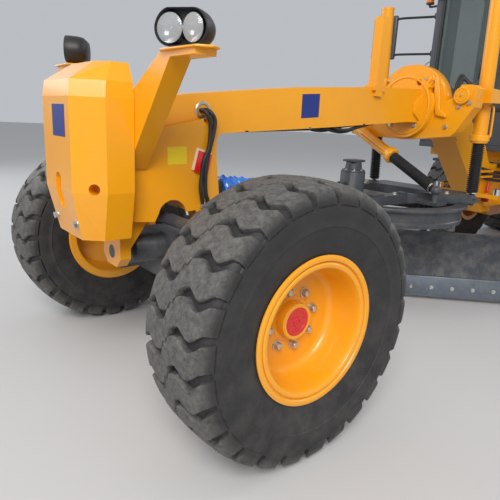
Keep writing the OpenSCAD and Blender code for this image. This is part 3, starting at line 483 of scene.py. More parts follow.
# Top: distance from the middle, radius. Groove: its middle and half its width, along the tread.
# Foot: distance from the middle and radius, below the casing's surface.
LUG_ROWS = [(-6, 673, 30, 8, -6, 630), (14, 674, 30, 12, 14, 630), (23, 674, -8, 13, 23, 630),
            (45, 673, -22, 17, 45, 630), (75, 672, -30, 21, 75, 630), (105, 670, -12, 22, 105, 628),
            (132, 668, 4, 22, 132, 626), (152, 665, 6, 22, 152, 622), (178, 659, -12, 23, 172, 618),
            (201, 650, -34, 23, 186, 612), (213, 628, -38, 22, 194, 600), (221, 600, -39, 19, 204, 592),
            (222, 584, -38, 12, 208, 580)]
# Distance from the middle and radius, from the tread's middle out to the bead
CASING = [
    (0, 641), (60, 641), (110, 640), (150, 636), (180, 628), (198, 614), (206, 601), (209, 591), (214, 587),
    (220, 586), (222, 575), (222.5, 550), (222, 522), (220, 496), (222, 492), (222, 487), (218.5, 483),
    (214, 452), (206, 416), (196, 384), (187, 362), (186, 345), (186, 319),
]


def on_tread(x, radius, run):
    """A point of the tyre at the front axle's middle: distance out, radius, and run along the tread."""
    angle = run / TYRE_R
    return at(x, -radius * math.sin(angle), TYRE_R + radius * math.cos(angle))


def add_lug(bm, worn):
    """One lug of the outer half of the tread."""
    rows = []
    for x, radius, middle, half, foot_x, foot_radius in LUG_ROWS:
        start = middle + half
        end = middle + PITCH - half
        tops = [(x, radius, start + 6 + (end - start - 12) * k / 4) for k in range(5)]
        section = [(foot_x, foot_radius, start - 6), (x, radius - 6, start), *tops, (x, radius - 6, end),
                   (foot_x, foot_radius, end + 6)]
        row = [bm.verts.new(on_tread(*p)) for p in section]
        for vert in row[1:-1]:
            vert[worn] = max(0.0, min(1.0, (radius - 600) / 55))
        rows.append(row)
    for one, two in zip(rows, rows[1:]):
        for k in range(len(one) - 1):
            bm.faces.new((one[k], one[k + 1], two[k + 1], two[k]))
    bm.faces.new(rows[0][::-1])
    bm.faces.new(rows[-1])


# %% Tyre
bm = bmesh.new()
worn = bm.verts.layers.float.new("worn")
add_lug(bm, worn)
hub = at(0, 0, TYRE_R)
outward = Vector((1, 0, 0))
bmesh.ops.spin(bm, geom=bm.verts[:] + bm.edges[:] + bm.faces[:], cent=hub, axis=outward, dvec=(0, 0, 0),
               angle=math.tau * (LUGS - 1) / LUGS, steps=LUGS - 1, use_duplicate=True)
other = bmesh.ops.duplicate(bm, geom=bm.verts[:] + bm.edges[:] + bm.faces[:])["geom"]
other_verts = [g for g in other if isinstance(g, bmesh.types.BMVert)]
half_turn = Matrix.Rotation(math.pi, 3, "Z")
bmesh.ops.rotate(bm, verts=other_verts, cent=hub, matrix=half_turn)
bmesh.ops.rotate(bm, verts=other_verts, cent=hub, matrix=Matrix.Rotation(PITCH / 2 / TYRE_R, 3, "X"))
add_turned(bm, (0, 0, TYRE_R), (100, 0, TYRE_R), [(-x, r) for x, r in CASING[::-1]] + CASING[1:], steps=104)
tyre_mesh = to_mesh(bm, "tyre", rubber)
print("tyre faces", len(tyre_mesh.polygons))

# %% Rim, hub and nuts
# Distance out from the middle and radius, from the outer flange in to the hub, then back along the inside
RIM_ROWS = [
    (186, 319), (187, 334), (188, 352), (192, 356.5), (197, 356), (200, 350), (200.5, 340), (198.5, 331),
    (194, 327), (187, 325.5), (187, 321.5), (193, 320), (196.5, 315), (197, 305), (193, 297), (184, 292),
    (160, 288), (110, 283), (60, 277), (34, 271), (21, 262), (14, 250), (12, 236), (12, 120), (10, 118),
    (10, 114), (13, 112), (13, 92), (52, 90), (60, 88), (63, 84), (63, 71), (57, 69), (-60, 69), (-60, 88),
    (-16, 92), (-12, 240), (-22, 262), (-60, 277), (-184, 292), (-196, 303), (-200, 350), (-192, 356),
    (-187, 350), (-186, 319),
]
bm = bmesh.new()
add_turned(bm, (0, 0, TYRE_R), (100, 0, TYRE_R), RIM_ROWS, steps=80, closed=True)
rim_mesh = to_mesh(bm, "rim", yellow, 30)

CAP_ROWS = [(56, 0), (56, 70), (61, 70), (64, 66), (64, 52), (62, 50), (62, 26), (66, 24), (66, 14),
            (62, 12), (62, 0)]
bm = bmesh.new()
add_turned(bm, (0, 0, TYRE_R), (100, 0, TYRE_R), CAP_ROWS, steps=48)
for y, z in around(3, 38, 0.4):
    add_bolt(bm, (62, y, TYRE_R + z), (1, 0, 0), 5)
bmesh.ops.remove_doubles(bm, verts=bm.verts[:], dist=0.00001)
cap_mesh = to_mesh(bm, "cap", red, 30)

NUT_ROWS = [(0, 26), (5, 26), (6, 20), (20, 19), (27, 15), (30, 8), (31, 0)]
bm = bmesh.new()
for y, z in around(8, 142, 0.2):
    add_turned(bm, (12, y, TYRE_R + z), (112, y, TYRE_R + z), NUT_ROWS, steps=18)
nut_mesh = to_mesh(bm, "nuts", zinc, 30)
print("rim faces", len(rim_mesh.polygons))

# %% Copies at the six hubs
# Name, body, side, distance back from the front axle, solids that the tyre and the rim stand for
rear_pair = [(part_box(n)[0][1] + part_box(n)[1][1]) / 2 - AXLE_Y for n in ("wheel_left_front",
                                                                        "wheel_left_rear")]
WHEELS = [
    ("front_left", "wheel_front_left", 1, 0.0, ["tyre_front_left"], ["rim_front_left"]),
    ("front_right", "wheel_front_right", -1, 0.0, ["tyre_front_right"], ["rim_front_right"]),
    ("rear_left_1", "wheel_left_front", 1, rear_pair[0], ["wheel_left_front"], []),
    ("rear_left_2", "wheel_left_rear", 1, rear_pair[1], ["wheel_left_rear"], []),
    ("rear_right_1", "wheel_right_front", -1, rear_pair[0], ["wheel_right_front"], []),
    ("rear_right_2", "wheel_right_rear", -1, rear_pair[1], ["wheel_right_rear"], []),
]
for name, body, side, back, tyre_nodes, rim_nodes in WHEELS:
    place = Matrix.Translation((side * TYRE_X / 1000, back, 0))
    if side < 0:
        middle = Matrix.Translation(at(0, 0, 0))
        place = place @ middle @ Matrix.Rotation(math.pi, 4, "Z") @ middle.inverted()
    for kind, mesh in (("tyre", tyre_mesh), ("rim", rim_mesh), ("cap", cap_mesh), ("nuts", nut_mesh)):
        copy = mesh.copy()
        copy.transform(place)
        place_piece(copy, name + "_" + kind, body, {"tyre": tyre_nodes, "rim": rim_nodes}.get(kind, []))
for mesh in (tyre_mesh, rim_mesh, cap_mesh, nut_mesh):
    bpy.data.meshes.remove(mesh)
print("wheels", len(WHEELS))

# %% [markdown]
# ## Sitting on a solid
# Plates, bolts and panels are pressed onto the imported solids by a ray, so none of them floats.

# %% Rays onto the solids
trees = {}


def touch(node, start, toward):
    """Where a ray from a start in millimetres first meets a solid, and the face's normal there."""
    if node not in trees:
        solid = bmesh.new()
        solid.from_mesh(nodes[node].data)
        trees[node] = BVHTree.FromBMesh(solid)
        solid.free()
    point, normal, _, _ = trees[node].ray_cast(at(*start), Vector(toward).normalized())
    if point is None:
        raise ValueError("no face of %s from %s" % (node, list(start)))
    return (point - at(0, 0, 0)) * 1000, normal


def add_plate(bm, node, corner, across, up, toward, lift=3.0, width=1.5):
    """A thin plate on a solid's face, from a corner and two edges in millimetres, pressed on from outside.

    Nine points of it, three by three, are laid on the face one by one."""
    press = Vector(toward).normalized()
    grid = []
    for j in range(3):
        row = []
        for i in range(3):
            start = Vector(corner) + Vector(across) * (i / 2) + Vector(up) * (j / 2)
            row.append(bm.verts.new(at(*(touch(node, start, toward)[0] - press * lift))))
        grid.append(row)
    faces = []
    for one, two in zip(grid, grid[1:]):
        for i in range(2):
            faces.append(bm.faces.new((one[i], one[i + 1], two[i + 1], two[i])))
    made = bmesh.ops.extrude_face_region(bm, geom=faces)["geom"]
    moved = [g for g in made if isinstance(g, bmesh.types.BMVert)]
    bmesh.ops.translate(bm, vec=press * (lift + 1) / 1000, verts=moved)
    if width:
        soften(bm, [v for row in grid for v in row] + moved, width, 1)


def add_bolts_on(bm, node, starts, toward, size=20):
    """Bolts on a solid's face, each where a ray from its start meets it."""
    for start in starts:
        spot, normal = touch(node, start, toward)
        add_bolt(bm, spot, normal, size)


print("rays ready")

# %% [markdown]
# ## Nose and headlamps
# The nose weight keeps its solid with rounder edges. Its panel is blank. The twin lamps sit in one
# housing: a loft of one outline, hollow in front, with a bowl, a bulb and a lens for each lamp.

# %% Nose
soften_solid("nose_weight", 12, 4, 14, False)
bm = bmesh.new()
add_plate(bm, "nose_weight", (-46, -1200, 1452), (180, 0, 0), (0, 0, 160), (0, 1, 0), lift=2)
finish_shape(bm, "nose_panel", "front_frame", blue)
bm = bmesh.new()
add_bolts_on(bm, "nose_weight", [(-150, -1200, 1010), (150, -1200, 1010)], (0, 1, 0), 24)
finish_shape(bm, "nose_bolts", "front_frame", zinc)
print("nose dressed")

# %% Lamp outline and placing
LAMP_TURN = math.radians(30)
LAMP_MIDDLE = (690, -372, 1948)
# Middle along the housing and radius of each lamp, and how wide its lens is against its height
LAMP_OUT = 57
OUTLINE_STEPS = 40
RING_STEPS = 32
LAMPS = [(-LAMP_OUT, 63, 1.0), (LAMP_OUT, 60, 0.82)]


def lamp_point(side, x, depth, z):
    """A point of a lamp housing: across, back from its face, and up from its middle."""
    turned_x = x * math.cos(LAMP_TURN) - depth * math.sin(LAMP_TURN)
    turned_y = x * math.sin(LAMP_TURN) + depth * math.cos(LAMP_TURN)
    return at(side * (LAMP_MIDDLE[0] + turned_x), LAMP_MIDDLE[1] + turned_y, LAMP_MIDDLE[2] + z)


def housing_outline(grow, depth):
    """The housing's outline: two circles and the lines that touch both."""
    points = []
    for k in range(OUTLINE_STEPS):
        angle = k * math.tau / OUTLINE_STEPS
        middle, radius = (LAMP_OUT, 72) if math.cos(angle) > 0 else (-LAMP_OUT, 76)
        hump = 8 * max(0.0, math.sin(angle)) ** 3
        points.append((middle * grow + radius * grow * math.cos(angle), depth,
                       (radius * math.sin(angle) + hump) * grow))
    return points


def loft_lamp(bm, side, rows):
    """Joins rows of lamp points into a closed skin."""
    skin(bm, [[bm.verts.new(lamp_point(side, *p)) for p in row] for row in rows])


def lamp_disc(middle, radius, squeeze, depth):
    """A ring of lamp points round one lamp."""
    return [(middle + squeeze * x, depth, z) for x, z in around(RING_STEPS, radius)]


# %% Headlamps
# Share of the full outline or radius, and how far back from the lamp's face
HOUSING = [(0.90, 34), (0.92, -4), (0.95, -9), (0.98, -9), (1.0, -3), (1.0, 30), (0.97, 70), (0.90, 100),
           (0.72, 118), (0.35, 124)]
BOWL = [(0.15, 30), (0.45, 26), (0.75, 14), (0.93, 0), (0.97, -3), (1.0, -3), (1.03, 2), (1.03, 34)]
GLASS = [(0.05, -15), (0.5, -13), (0.85, -9), (0.97, -5), (0.97, -3)]
for side, label in SIDES:
    bm = bmesh.new()
    loft_lamp(bm, side, [housing_outline(grow, depth) for grow, depth in HOUSING])
    add_bar(bm, (side * 660, -320, 1864.5), (side * 660, -320, 1888), 34, 30, width=3)
    add_bar(bm, (side * 660, -320, 1886), (side * 668, -330, 1915), 20)
    finish_shape(bm, "lamp_housing_" + label, "front_frame", plastic, 40,
                 ("headlamps",) if side > 0 else ())
    bm = bmesh.new()
    for middle, radius, squeeze in LAMPS:
        loft_lamp(bm, side, [lamp_disc(middle, radius * r, squeeze, d) for r, d in BOWL])
        bulb = lamp_point(side, middle, 14, 0)
        bmesh.ops.create_uvsphere(bm, u_segments=16, v_segments=8, radius=0.010,
                                  matrix=Matrix.Translation(bulb))
    finish_shape(bm, "lamp_bowls_" + label, "front_frame", bright, 50)
    bm = bmesh.new()
    for middle, radius, squeeze in LAMPS:
        loft_lamp(bm, side, [lamp_disc(middle, radius * r, squeeze, d) for r, d in GLASS])
    finish_shape(bm, "lamp_lenses_" + label, "front_frame", lens, 50)
    bm = bmesh.new()
    add_prism(bm, sided(side, [(560, -408, 1866), (600, -425, 1866), (860, -410, 1866), (900, -345, 1866),
                               (860, -285, 1866), (570, -285, 1866)]), (0, 0, -9), 2)
    finish_shape(bm, "lamp_plate_" + label, "front_frame", yellow)
print("headlamps", len(LAMPS) * 2)

# %% [markdown]
# ## Side plates, hoses and the reflector
# The sign on the side plate is blank. The reflector leans, with a cream edge behind it, and two
# hoses leave a grommet in the beam and hang down over the plate.

# %% Reflectors and blank signs
for side, label in SIDES:
    bm = bmesh.new()
    add_plate(bm, "front_frame", (side * 600, -152, 1312), (0, 125, 3), (0, -4, 98), (-side, 0, 0),
              lift=1.5, width=0)
    finish_shape(bm, "blank_sign_" + label, "front_frame", sign_yellow)
    bm = bmesh.new()
    outline = sided(side, [(190.5, 4, 1282), (190.5, 110, 1250), (190.5, 140, 1378), (190.5, 36, 1408)])
    add_prism(bm, outline, (side * 8, 0, 0), 1)
    finish_shape(bm, "reflector_back_" + label, "front_frame", cream)
    bm = bmesh.new()
    outline = sided(side, [(198, 14, 1272), (198, 108, 1246), (198, 136, 1368), (198, 46, 1394)])
    add_prism(bm, outline, (side * 10, 0, 0), 3)
    finish_shape(bm, "reflector_" + label, "front_frame", reflector)
print("reflectors and signs")

# %% Hoses at the side
# Points of each hose, out from the middle, back from the axle, and up
HOSE_RUNS = [
    [(140, 112, 1622), (172, 112, 1622), (204, 128, 1604), (212, 146, 1560), (212, 136, 1486),
     (211, 114, 1400), (210, 97, 1320), (210, 90, 1230), (209, 97, 1140), (207, 112, 1100), (201, 118, 1062)],
    [(140, 86, 1618), (172, 86, 1618), (198, 98, 1602), (206, 116, 1558), (207, 120, 1500),
     (214, 106, 1410), (214, 74, 1330), (209, 64, 1240), (209, 60, 1174), (207, 72, 1110), (201, 84, 1066)],
]
bm = bmesh.new()
for run in HOSE_RUNS:
    add_tube(bm, run, 12.5, sides=14, steps=8)
finish_shape(bm, "side_hose_pair", "front_frame", hose, 60, ("side_hoses",))
bm = bmesh.new()
for y, z in ((118, 1062), (84, 1066)):
    add_bar(bm, (188, y, z - 4), (214, y, z - 4), 19, steps=6, width=2)
    add_bar(bm, (201, y, z - 6), (203, y - 1, z + 24), 15, 13, steps=16, width=1)
add_turned(bm, (149, 100, 1620), (249, 100, 1620), [(0, 50), (4, 52), (8, 48), (8, 36), (2, 34), (0, 34)],
           steps=36, closed=True)
finish_shape(bm, "hose_fittings", "front_frame", zinc)
print("side hoses", len(HOSE_RUNS))

# %% [markdown]
# ## Main beam
# A blank blue panel on each side of the beam, and the hoses under it with their clamps.

# %% Beam trim
for side, label in SIDES:
    bm = bmesh.new()
    add_plate(bm, "front_frame", (side * 600, 900, 1606), (0, 168, 14), (0, -2, 158), (-side, 0, 0),
              lift=1.5, width=0)
    finish_shape(bm, "beam_panel_" + label, "front_frame", blue)
bm = bmesh.new()
for side in (1, -1):
    add_tube(bm, sided(side, [(60, 210, 1497), (62, 700, 1522), (62, 1230, 1548), (70, 1700, 1600)]), 13,
             steps=8)
    add_tube(bm, sided(side, [(95, 1180, 1552), (112, 1300, 1528), (100, 1420, 1530), (84, 1560, 1560),
                              (88, 1760, 1604)]), 14, steps=8)
    add_tube(bm, sided(side, [(128, 1240, 1558), (142, 1320, 1540), (138, 1440, 1548), (118, 1640, 1586),
                              (110, 1800, 1610)]), 11, steps=8)
finish_shape(bm, "beam_hoses", "front_frame", hose, 60)
bm = bmesh.new()
for y, z in ((420, 1492), (980, 1528), (1560, 1572)):
    add_box(bm, (-150, y, z + 10), (150, y + 30, z + 22), 2)
finish_shape(bm, "hose_clamps", "front_frame", zinc)
print("beam trim")

# %% [markdown]
# ## Saddle and its cylinders
# The lock plate on the beam's end, the ring round the disc, pins with their keepers, and the pipes,
# glands and rubber bellows of the three cylinders that carry the drawbar.

# %% Saddle trim
bm = bmesh.new()
for side in (1, -1):
    outline = sided(side, [(149, 2184, 1700), (149, 2180, 1772), (149, 2262, 1848), (149, 2322, 1860),
                           (149, 2322, 1640), (149, 2268, 1640)])
    add_prism(bm, outline, (side * 17, 0, 0), 4)
    add_turned(bm, (side * 495, 2331, 1845), (side * 495, 2231, 1845),
               [(0, 66), (26, 66), (32, 60), (32, 52), (29, 50), (29, 46), (33, 44), (33, 0)], steps=40)
    add_turned(bm, (side * 168, 2331, 1975), (side * 168, 2231, 1975),
               [(0, 58), (12, 58), (15, 54), (15, 40), (30, 38), (34, 34), (34, 0)], steps=36)
    add_box(bm, (side * 168 - 70, 2310, 1966), (side * 168 + 70, 2320, 1984), 3)
    rib = sided(side, [(262, 2329, 2000), (300, 2329, 1880), (318, 2329, 1740), (380, 2329, 1700),
                       (380, 2329, 1672), (286, 2329, 1690), (258, 2329, 1800), (236, 2329, 1990)])
    add_prism(bm, rib, (0, -26, 0), 6, 3)
add_turned(bm, (0, 2271, 1760), (0, 2171, 1760), [(0, 228), (7, 230), (9, 236), (7, 243), (0, 246)],
           steps=72, closed=True)
finish_shape(bm, "saddle_trim", "front_frame", yellow)
bm = bmesh.new()
for side in (1, -1):
    add_bolts_on(bm, "saddle", sided(side, [(560, 1900, 1790), (470, 1900, 1760), (120, 1900, 1600),
                                            (380, 1900, 1600)]), (0, 1, 0), 20)
    add_bar(bm, (side * 495, 2299, 1845), (side * 495, 2286, 1845), 9, 6, 12)
    add_bar(bm, (side * 168, 2298, 1975), (side * 168, 2286, 1975), 13, steps=6)
finish_shape(bm, "saddle_bolts", "front_frame", zinc)
print("saddle trim")

# %% Hoses over the saddle
bm = bmesh.new()
for side in (1, -1):
    for shift in (0, 34):
        add_tube(bm, sided(side, [(300 + shift, 2460, 1700), (318 + shift, 2490, 1850),
                                  (330 + shift, 2510, 1980), (352 + shift, 2520, 2020 - shift),
                                  (392 + shift, 2530, 1985 - shift),
                                  (440 + shift / 2, 2560, 1935 - shift)]), 13, sides=12, steps=8)
    add_tube(bm, sided(side, [(120, 2440, 1890), (210, 2470, 1935), (300, 2490, 1900), (318, 2480, 1800)]),
             12, steps=8)
finish_shape(bm, "saddle_hoses", "front_frame", hose, 60)
print("saddle hoses")

# %% Cylinder lines
LIFT_TOP = (525, 2620, 1855)
LIFT_BALL = (525, 2660, 1010)
SHIFT_TOP = (-520, 2278, 1560)
SHIFT_BALL = (480, 2158, 1095)


def along(start, end, distance, side=(0, 0, 0)):
    """A point so many millimetres along a line, pushed aside by an offset."""
    way = (Vector(end) - Vector(start)).normalized()
    return Vector(start) + way * distance + Vector(side)


def bellows_rows(low, high, folds, valley, peak):
    """Lathe rows of a bellows between two distances."""
    pitch = (high - low) / folds
    rows = [(low, valley + 3)]
    for k in range(folds):
        rows += [(low + pitch * (k + 0.2), valley), (low + pitch * (k + 0.5), peak),
                 (low + pitch * (k + 0.62), peak), (low + pitch * (k + 0.9), valley)]
    return rows + [(high, valley + 3), (high, valley - 12), (low, valley - 12)]


# %% Lift cylinders
for side, label in SIDES:
    top, ball = sided(side, [LIFT_TOP, LIFT_BALL])
    bm = bmesh.new()
    add_turned(bm, top, ball, [(300, 57), (304, 78), (312, 80), (352, 80), (358, 76), (362, 66), (372, 62),
                               (372, 30), (300, 30)], steps=40, closed=True)
    add_turned(bm, top, ball, [(-801.5, 0), (-801.5, 51), (-798, 59), (-782, 59.5), (-780, 50)], steps=40)
    add_tube(bm, [along(top, ball, -730, (side * 40, 0, 0)), along(top, ball, -730, (side * 84, 0, 0)),
                  along(top, ball, -600, (side * 90, 0, 0))], 9)
    add_tube(bm, [along(top, ball, 70, (side * 60, 0, 0)), along(top, ball, 82, (side * 84, 0, 0)),
                  along(top, ball, 130, (side * 90, 0, 0)), along(top, ball, 250, (side * 90, 0, 0)),
                  along(top, ball, 310, (side * 88, 0, 0)), along(top, ball, 330, (side * 70, 0, 0))], 9)
    finish_shape(bm, "lift_barrel_trim_" + label, "lift_barrel_" + label, yellow)
    bm = bmesh.new()
    add_turned(bm, top, ball, bellows_rows(373, 786, 24, 42, 53), steps=32, closed=True)
    finish_shape(bm, "lift_bellows_" + label, ("lift_barrel_" + label, "lift_rod_" + label,
                                               at(*along(top, ball, 374)), at(*along(top, ball, 784))),
                 hose, 24)
print("lift cylinders")

# %% Centre-shift cylinder
bm = bmesh.new()
add_turned(bm, SHIFT_TOP, SHIFT_BALL, [(500, 49), (504, 66), (512, 68), (552, 68), (560, 62), (562, 30),
                                       (500, 30)], steps=36, closed=True)
add_tube(bm, [along(SHIFT_TOP, SHIFT_BALL, 150, (0, -50, 0)),
              along(SHIFT_TOP, SHIFT_BALL, 160, (0, -66, 0)),
              along(SHIFT_TOP, SHIFT_BALL, 480, (0, -66, 0)),
              along(SHIFT_TOP, SHIFT_BALL, 520, (0, -52, 0))], 8)
finish_shape(bm, "shift_barrel_trim", "shift_barrel", yellow)
bm = bmesh.new()
add_turned(bm, SHIFT_TOP, SHIFT_BALL, bellows_rows(563, 1040, 26, 37, 47), steps=28, closed=True)
finish_shape(bm, "shift_bellows", ("shift_barrel", "shift_rod", at(*along(SHIFT_TOP, SHIFT_BALL, 564)),
                                   at(*along(SHIFT_TOP, SHIFT_BALL, 1038))), hose, 24)
print("centre-shift cylinder")

# %% [markdown]
# ## Drawbar, circle and blade
# The drawbar's neck is wrapped in creased blue film. The circle's drive gets its cover, the circle
# its inner teeth and a band round its rim, and the cutting edge its bolts.

# %% Film round the neck
def crease(run, angle):
    """How far the film stands off the neck, in millimetres, from three waves of folds."""
    return (7 * math.sin(angle * 5 + run * 0.045) + 5 * math.sin(angle * 9 - run * 0.08 + 1.3)
            + 4 * math.sin(run * 0.16 + angle * 3))


bm = bmesh.new()
rings = []
for step in range(61):
    y = 322 + step * 5.4
    ring = []
    for k in range(64):
        angle = k * math.tau / 64
        taper = 1 - 0.10 * (step / 60)
        half_w, half_h = (98 + crease(y, angle)) * taper, (92 + crease(y + 40, angle)) * taper
        ring.append(bm.verts.new(at(half_w * math.cos(angle), y,
                                    1120 - step * 0.35 + half_h * math.sin(angle))))
    rings.append(ring)
skin(bm, rings)
finish_shape(bm, "neck_film", "drawbar", film, 70)
print("film rings", len(rings))

# %% Drawbar trim
DRIVE_Y = 1680
bm = bmesh.new()
add_turned(bm, (0, DRIVE_Y, 1200), (0, DRIVE_Y, 1300), [(0, 0), (0, 92), (16, 96), (26, 92), (34, 70),
                                                        (70, 64), (96, 60), (104, 48), (104, 0)], steps=40)
add_box(bm, (-60, DRIVE_Y - 70, 1290), (60, DRIVE_Y + 70, 1308), 4)
for side in (1, -1):
    add_box(bm, (side * 250, 1560, 1050), (side * 320, 1700, 1072), 5)
    add_box(bm, (side * 250, 1940, 1050), (side * 320, 2010, 1066), 4)
finish_shape(bm, "drive_cover", "drawbar", charcoal)
bm = bmesh.new()
for x, y in around(8, 82):
    add_bolt(bm, (x, DRIVE_Y + y, 1225), (0, 0, 1), 11)
bolt_places = ((240, 1500), (285, 1880), (360, 2300), (430, 2420), (250, 1440))
for side in (1, -1):
    add_bolts_on(bm, "drawbar", [(side * x, y, 1500) for x, y in bolt_places], (0, 0, -1), 20)
finish_shape(bm, "drawbar_bolts", "drawbar", zinc)
bm = bmesh.new()
for x, y in ((40, 680), (-40, 690), (14, 700)):
    add_tube(bm, [(x, y, 1110), (x * 1.5, y + 140, 1085), (x * 1.4, y + 420, 1072),
                  (x * 1.2, y + 740, 1078), (x, y + 880, 1120)], 12, steps=8)
finish_shape(bm, "drawbar_hoses", "drawbar", hose, 60)
print("drawbar trim")

# %% Circle trim
BLADE_TURN = math.radians(46)
CIRCLE_Y = 2165


def blade_at(u, v, z):
    """A point given along the blade, back from the circle's middle, and up."""
    return (u * math.cos(BLADE_TURN) - v * math.sin(BLADE_TURN),
            CIRCLE_Y + u * math.sin(BLADE_TURN) + v * math.cos(BLADE_TURN), z)


TEETH = 64
bm = bmesh.new()
for k in range(TEETH):
    angle = k * math.tau / TEETH
    wide, tip = 12 / 566, 6 / 548
    outline = []
    for radius, spread in ((572, wide), (548, tip), (548, -tip), (572, -wide)):
        outline.append((radius * math.cos(angle + spread), CIRCLE_Y + radius * math.sin(angle + spread), 822))
    add_prism(bm, outline, (0, 0, 56))
add_turned(bm, (0, CIRCLE_Y, 820), (0, CIRCLE_Y, 920), [(10, 639), (18, 645), (34, 645), (42, 639)],
           steps=96, closed=True)
finish_shape(bm, "circle_teeth", "circle", charcoal)
print("circle teeth", TEETH)

# %% Blade trim
BLADE_HALF = 1830
PARK = -20
EDGE_BOLTS = 19
bm = bmesh.new()
for k in range(EDGE_BOLTS):
    u = PARK - BLADE_HALF + 100 + k * (2 * BLADE_HALF - 200) / (EDGE_BOLTS - 1)
    start = blade_at(u, -400, 105)
    way = (math.sin(BLADE_TURN), -math.cos(BLADE_TURN), 0)
    spot, normal = touch("cutting_edge", start, (-way[0], -way[1], 0))
    add_bolt(bm, spot, normal, 20)
finish_shape(bm, "edge_bolts", "blade", zinc)
print("edge bolts", EDGE_BOLTS)

# %% [markdown]
# ## Cab
# Rubber seals go round every pane. Mirrors and lamps are rebuilt with rounded shells, and the cab
# gets its wiper, rails, handles, and what shows through the glass: spokes, levers and pedals.

# %% Sizes of the cab
cab_low, cab_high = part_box("cab_frame")
CAB_X = cab_high[0] * 1000
CAB_FRONT = (cab_low[1] - AXLE_Y) * 1000
CAB_REAR = (cab_high[1] - AXLE_Y) * 1000
GLASS_TOP = 3170
# The rails and the turn lamps stand on the side walls, this far behind the windscreen
RAIL_Y = CAB_FRONT + 45


def on_side(side, out, z):
    """A point beside the cab's front pillar, out from its side wall."""
    return (side * (CAB_X + out), RAIL_Y, z)


def add_seal(bm, corners, normal, wide=40, high=9, radius=30):
    """A rubber strip swept round a window, from the window's four corners in millimetres."""
    points = [Vector(c) for c in corners]
    n = Vector(normal).normalized()
    path = []
    for i, corner in enumerate(points):
        back = (points[i - 1] - corner).normalized()
        ahead = (points[(i + 1) % 4] - corner).normalized()
        for k in range(5):
            t = k / 4
            path.append(corner + back * (radius * (1 - t) ** 2) + ahead * (radius * t ** 2))
    rings = []
    for i, q in enumerate(path):
        side = (path[(i + 1) % len(path)] - path[i - 1]).normalized().cross(n)
        section = ((-wide / 2, -1), (-wide / 2 + 4, high), (wide / 2 - 4, high), (wide / 2, -1))
        rings.append([bm.verts.new(at(*(q + side * s + n * h))) for s, h in section])
    skin(bm, rings + rings[:1], False)


def window(low, high, plane, axis):
    """The four corners of an upright window, between two points (across, z), on a plane across x or y."""
    pairs = ((low[0], low[1]), (high[0], low[1]), (high[0], high[1]), (low[0], high[1]))
    return [(plane, a, z) if axis == "x" else (a, plane, z) for a, z in pairs]


print("cab half width", round(CAB_X), "front", round(CAB_FRONT), "rear", round(CAB_REAR))

# %% Seals
DOOR_X = 746
HANDLE_Y = 4088
bm = bmesh.new()
add_seal(bm, window((-CAB_X + 90, 1800), (CAB_X - 90, GLASS_TOP), CAB_FRONT, "y"), (0, -1, 0))
add_seal(bm, window((-CAB_X + 90, 2000), (CAB_X - 90, GLASS_TOP), CAB_REAR, "y"), (0, 1, 0))
for side in (1, -1):
    quarter = window((CAB_REAR - 390, 2000), (CAB_REAR - 90, GLASS_TOP), side * CAB_X, "x")
    add_seal(bm, quarter, (side, 0, 0), 34)
    front_pane = window((CAB_FRONT + 90, 1800), (CAB_FRONT + 260, GLASS_TOP), side * CAB_X, "x")
    add_seal(bm, front_pane, (side, 0, 0), 34)
finish_shape(bm, "cab_seals", "rear_frame", plastic)
for side, label in SIDES:
    bm = bmesh.new()
    for low, high in (((4120, 1530), (4730, 1740)), ((4120, 1800), (4730, 3120))):
        add_seal(bm, window(low, high, side * DOOR_X, "x"), (side, 0, 0), 30, 7, 40)
    add_seal(bm, window((4064, 1454), (4786, 3176), side * DOOR_X, "x"), (side, 0, 0), 10, 2, 12)
    finish_shape(bm, "door_seals_" + label, "door_" + label, plastic)
    bm = bmesh.new()
    grip = ((744, 1995), (786, 1990), (798, 1955), (798, 1875), (798, 1795), (786, 1762), (744, 1758))
    add_tube(bm, [(side * x, HANDLE_Y, z) for x, z in grip], 10)
    add_turned(bm, (side * 745, HANDLE_Y, 1690), (side * 845, HANDLE_Y, 1690),
               [(0, 26), (6, 26), (9, 22), (9, 15), (22, 14), (24, 11), (24, 0)], steps=28)
    finish_shape(bm, "door_handle_" + label, "door_" + label, bright)
print("seals and handles ready")

# %% Wiper
bm = bmesh.new()
add_box(bm, (-70, CAB_FRONT - 34, 3182), (30, CAB_FRONT - 1, 3242), 10, 3)
add_tube(bm, [(-22, CAB_FRONT - 30, 3205), (-28, CAB_FRONT - 46, 3150), (-70, CAB_FRONT - 34, 2780),
              (-108, CAB_FRONT - 16, 2400)], 7)
finish_shape(bm, "wiper_arm", "rear_frame", plastic)
bm = bmesh.new()
blade_top, blade_foot = Vector((-75, CAB_FRONT - 10, 2700)), Vector((-140, CAB_FRONT - 10, 2110))
add_prism(bm, [blade_top - Vector((7, 0, 0)), blade_top + Vector((7, 0, 0)), blade_foot + Vector((7, 0, 0)),
               blade_foot - Vector((7, 0, 0))], (0, -16, 0), 3)
for share in (0.2, 0.5, 0.8):
    spot = blade_top.lerp(blade_foot, share)
    add_box(bm, spot - Vector((13, 18, 26)), spot + Vector((13, 2, 26)), 4)
finish_shape(bm, "wiper_blade", "rear_frame", hose)
print("wiper ready")

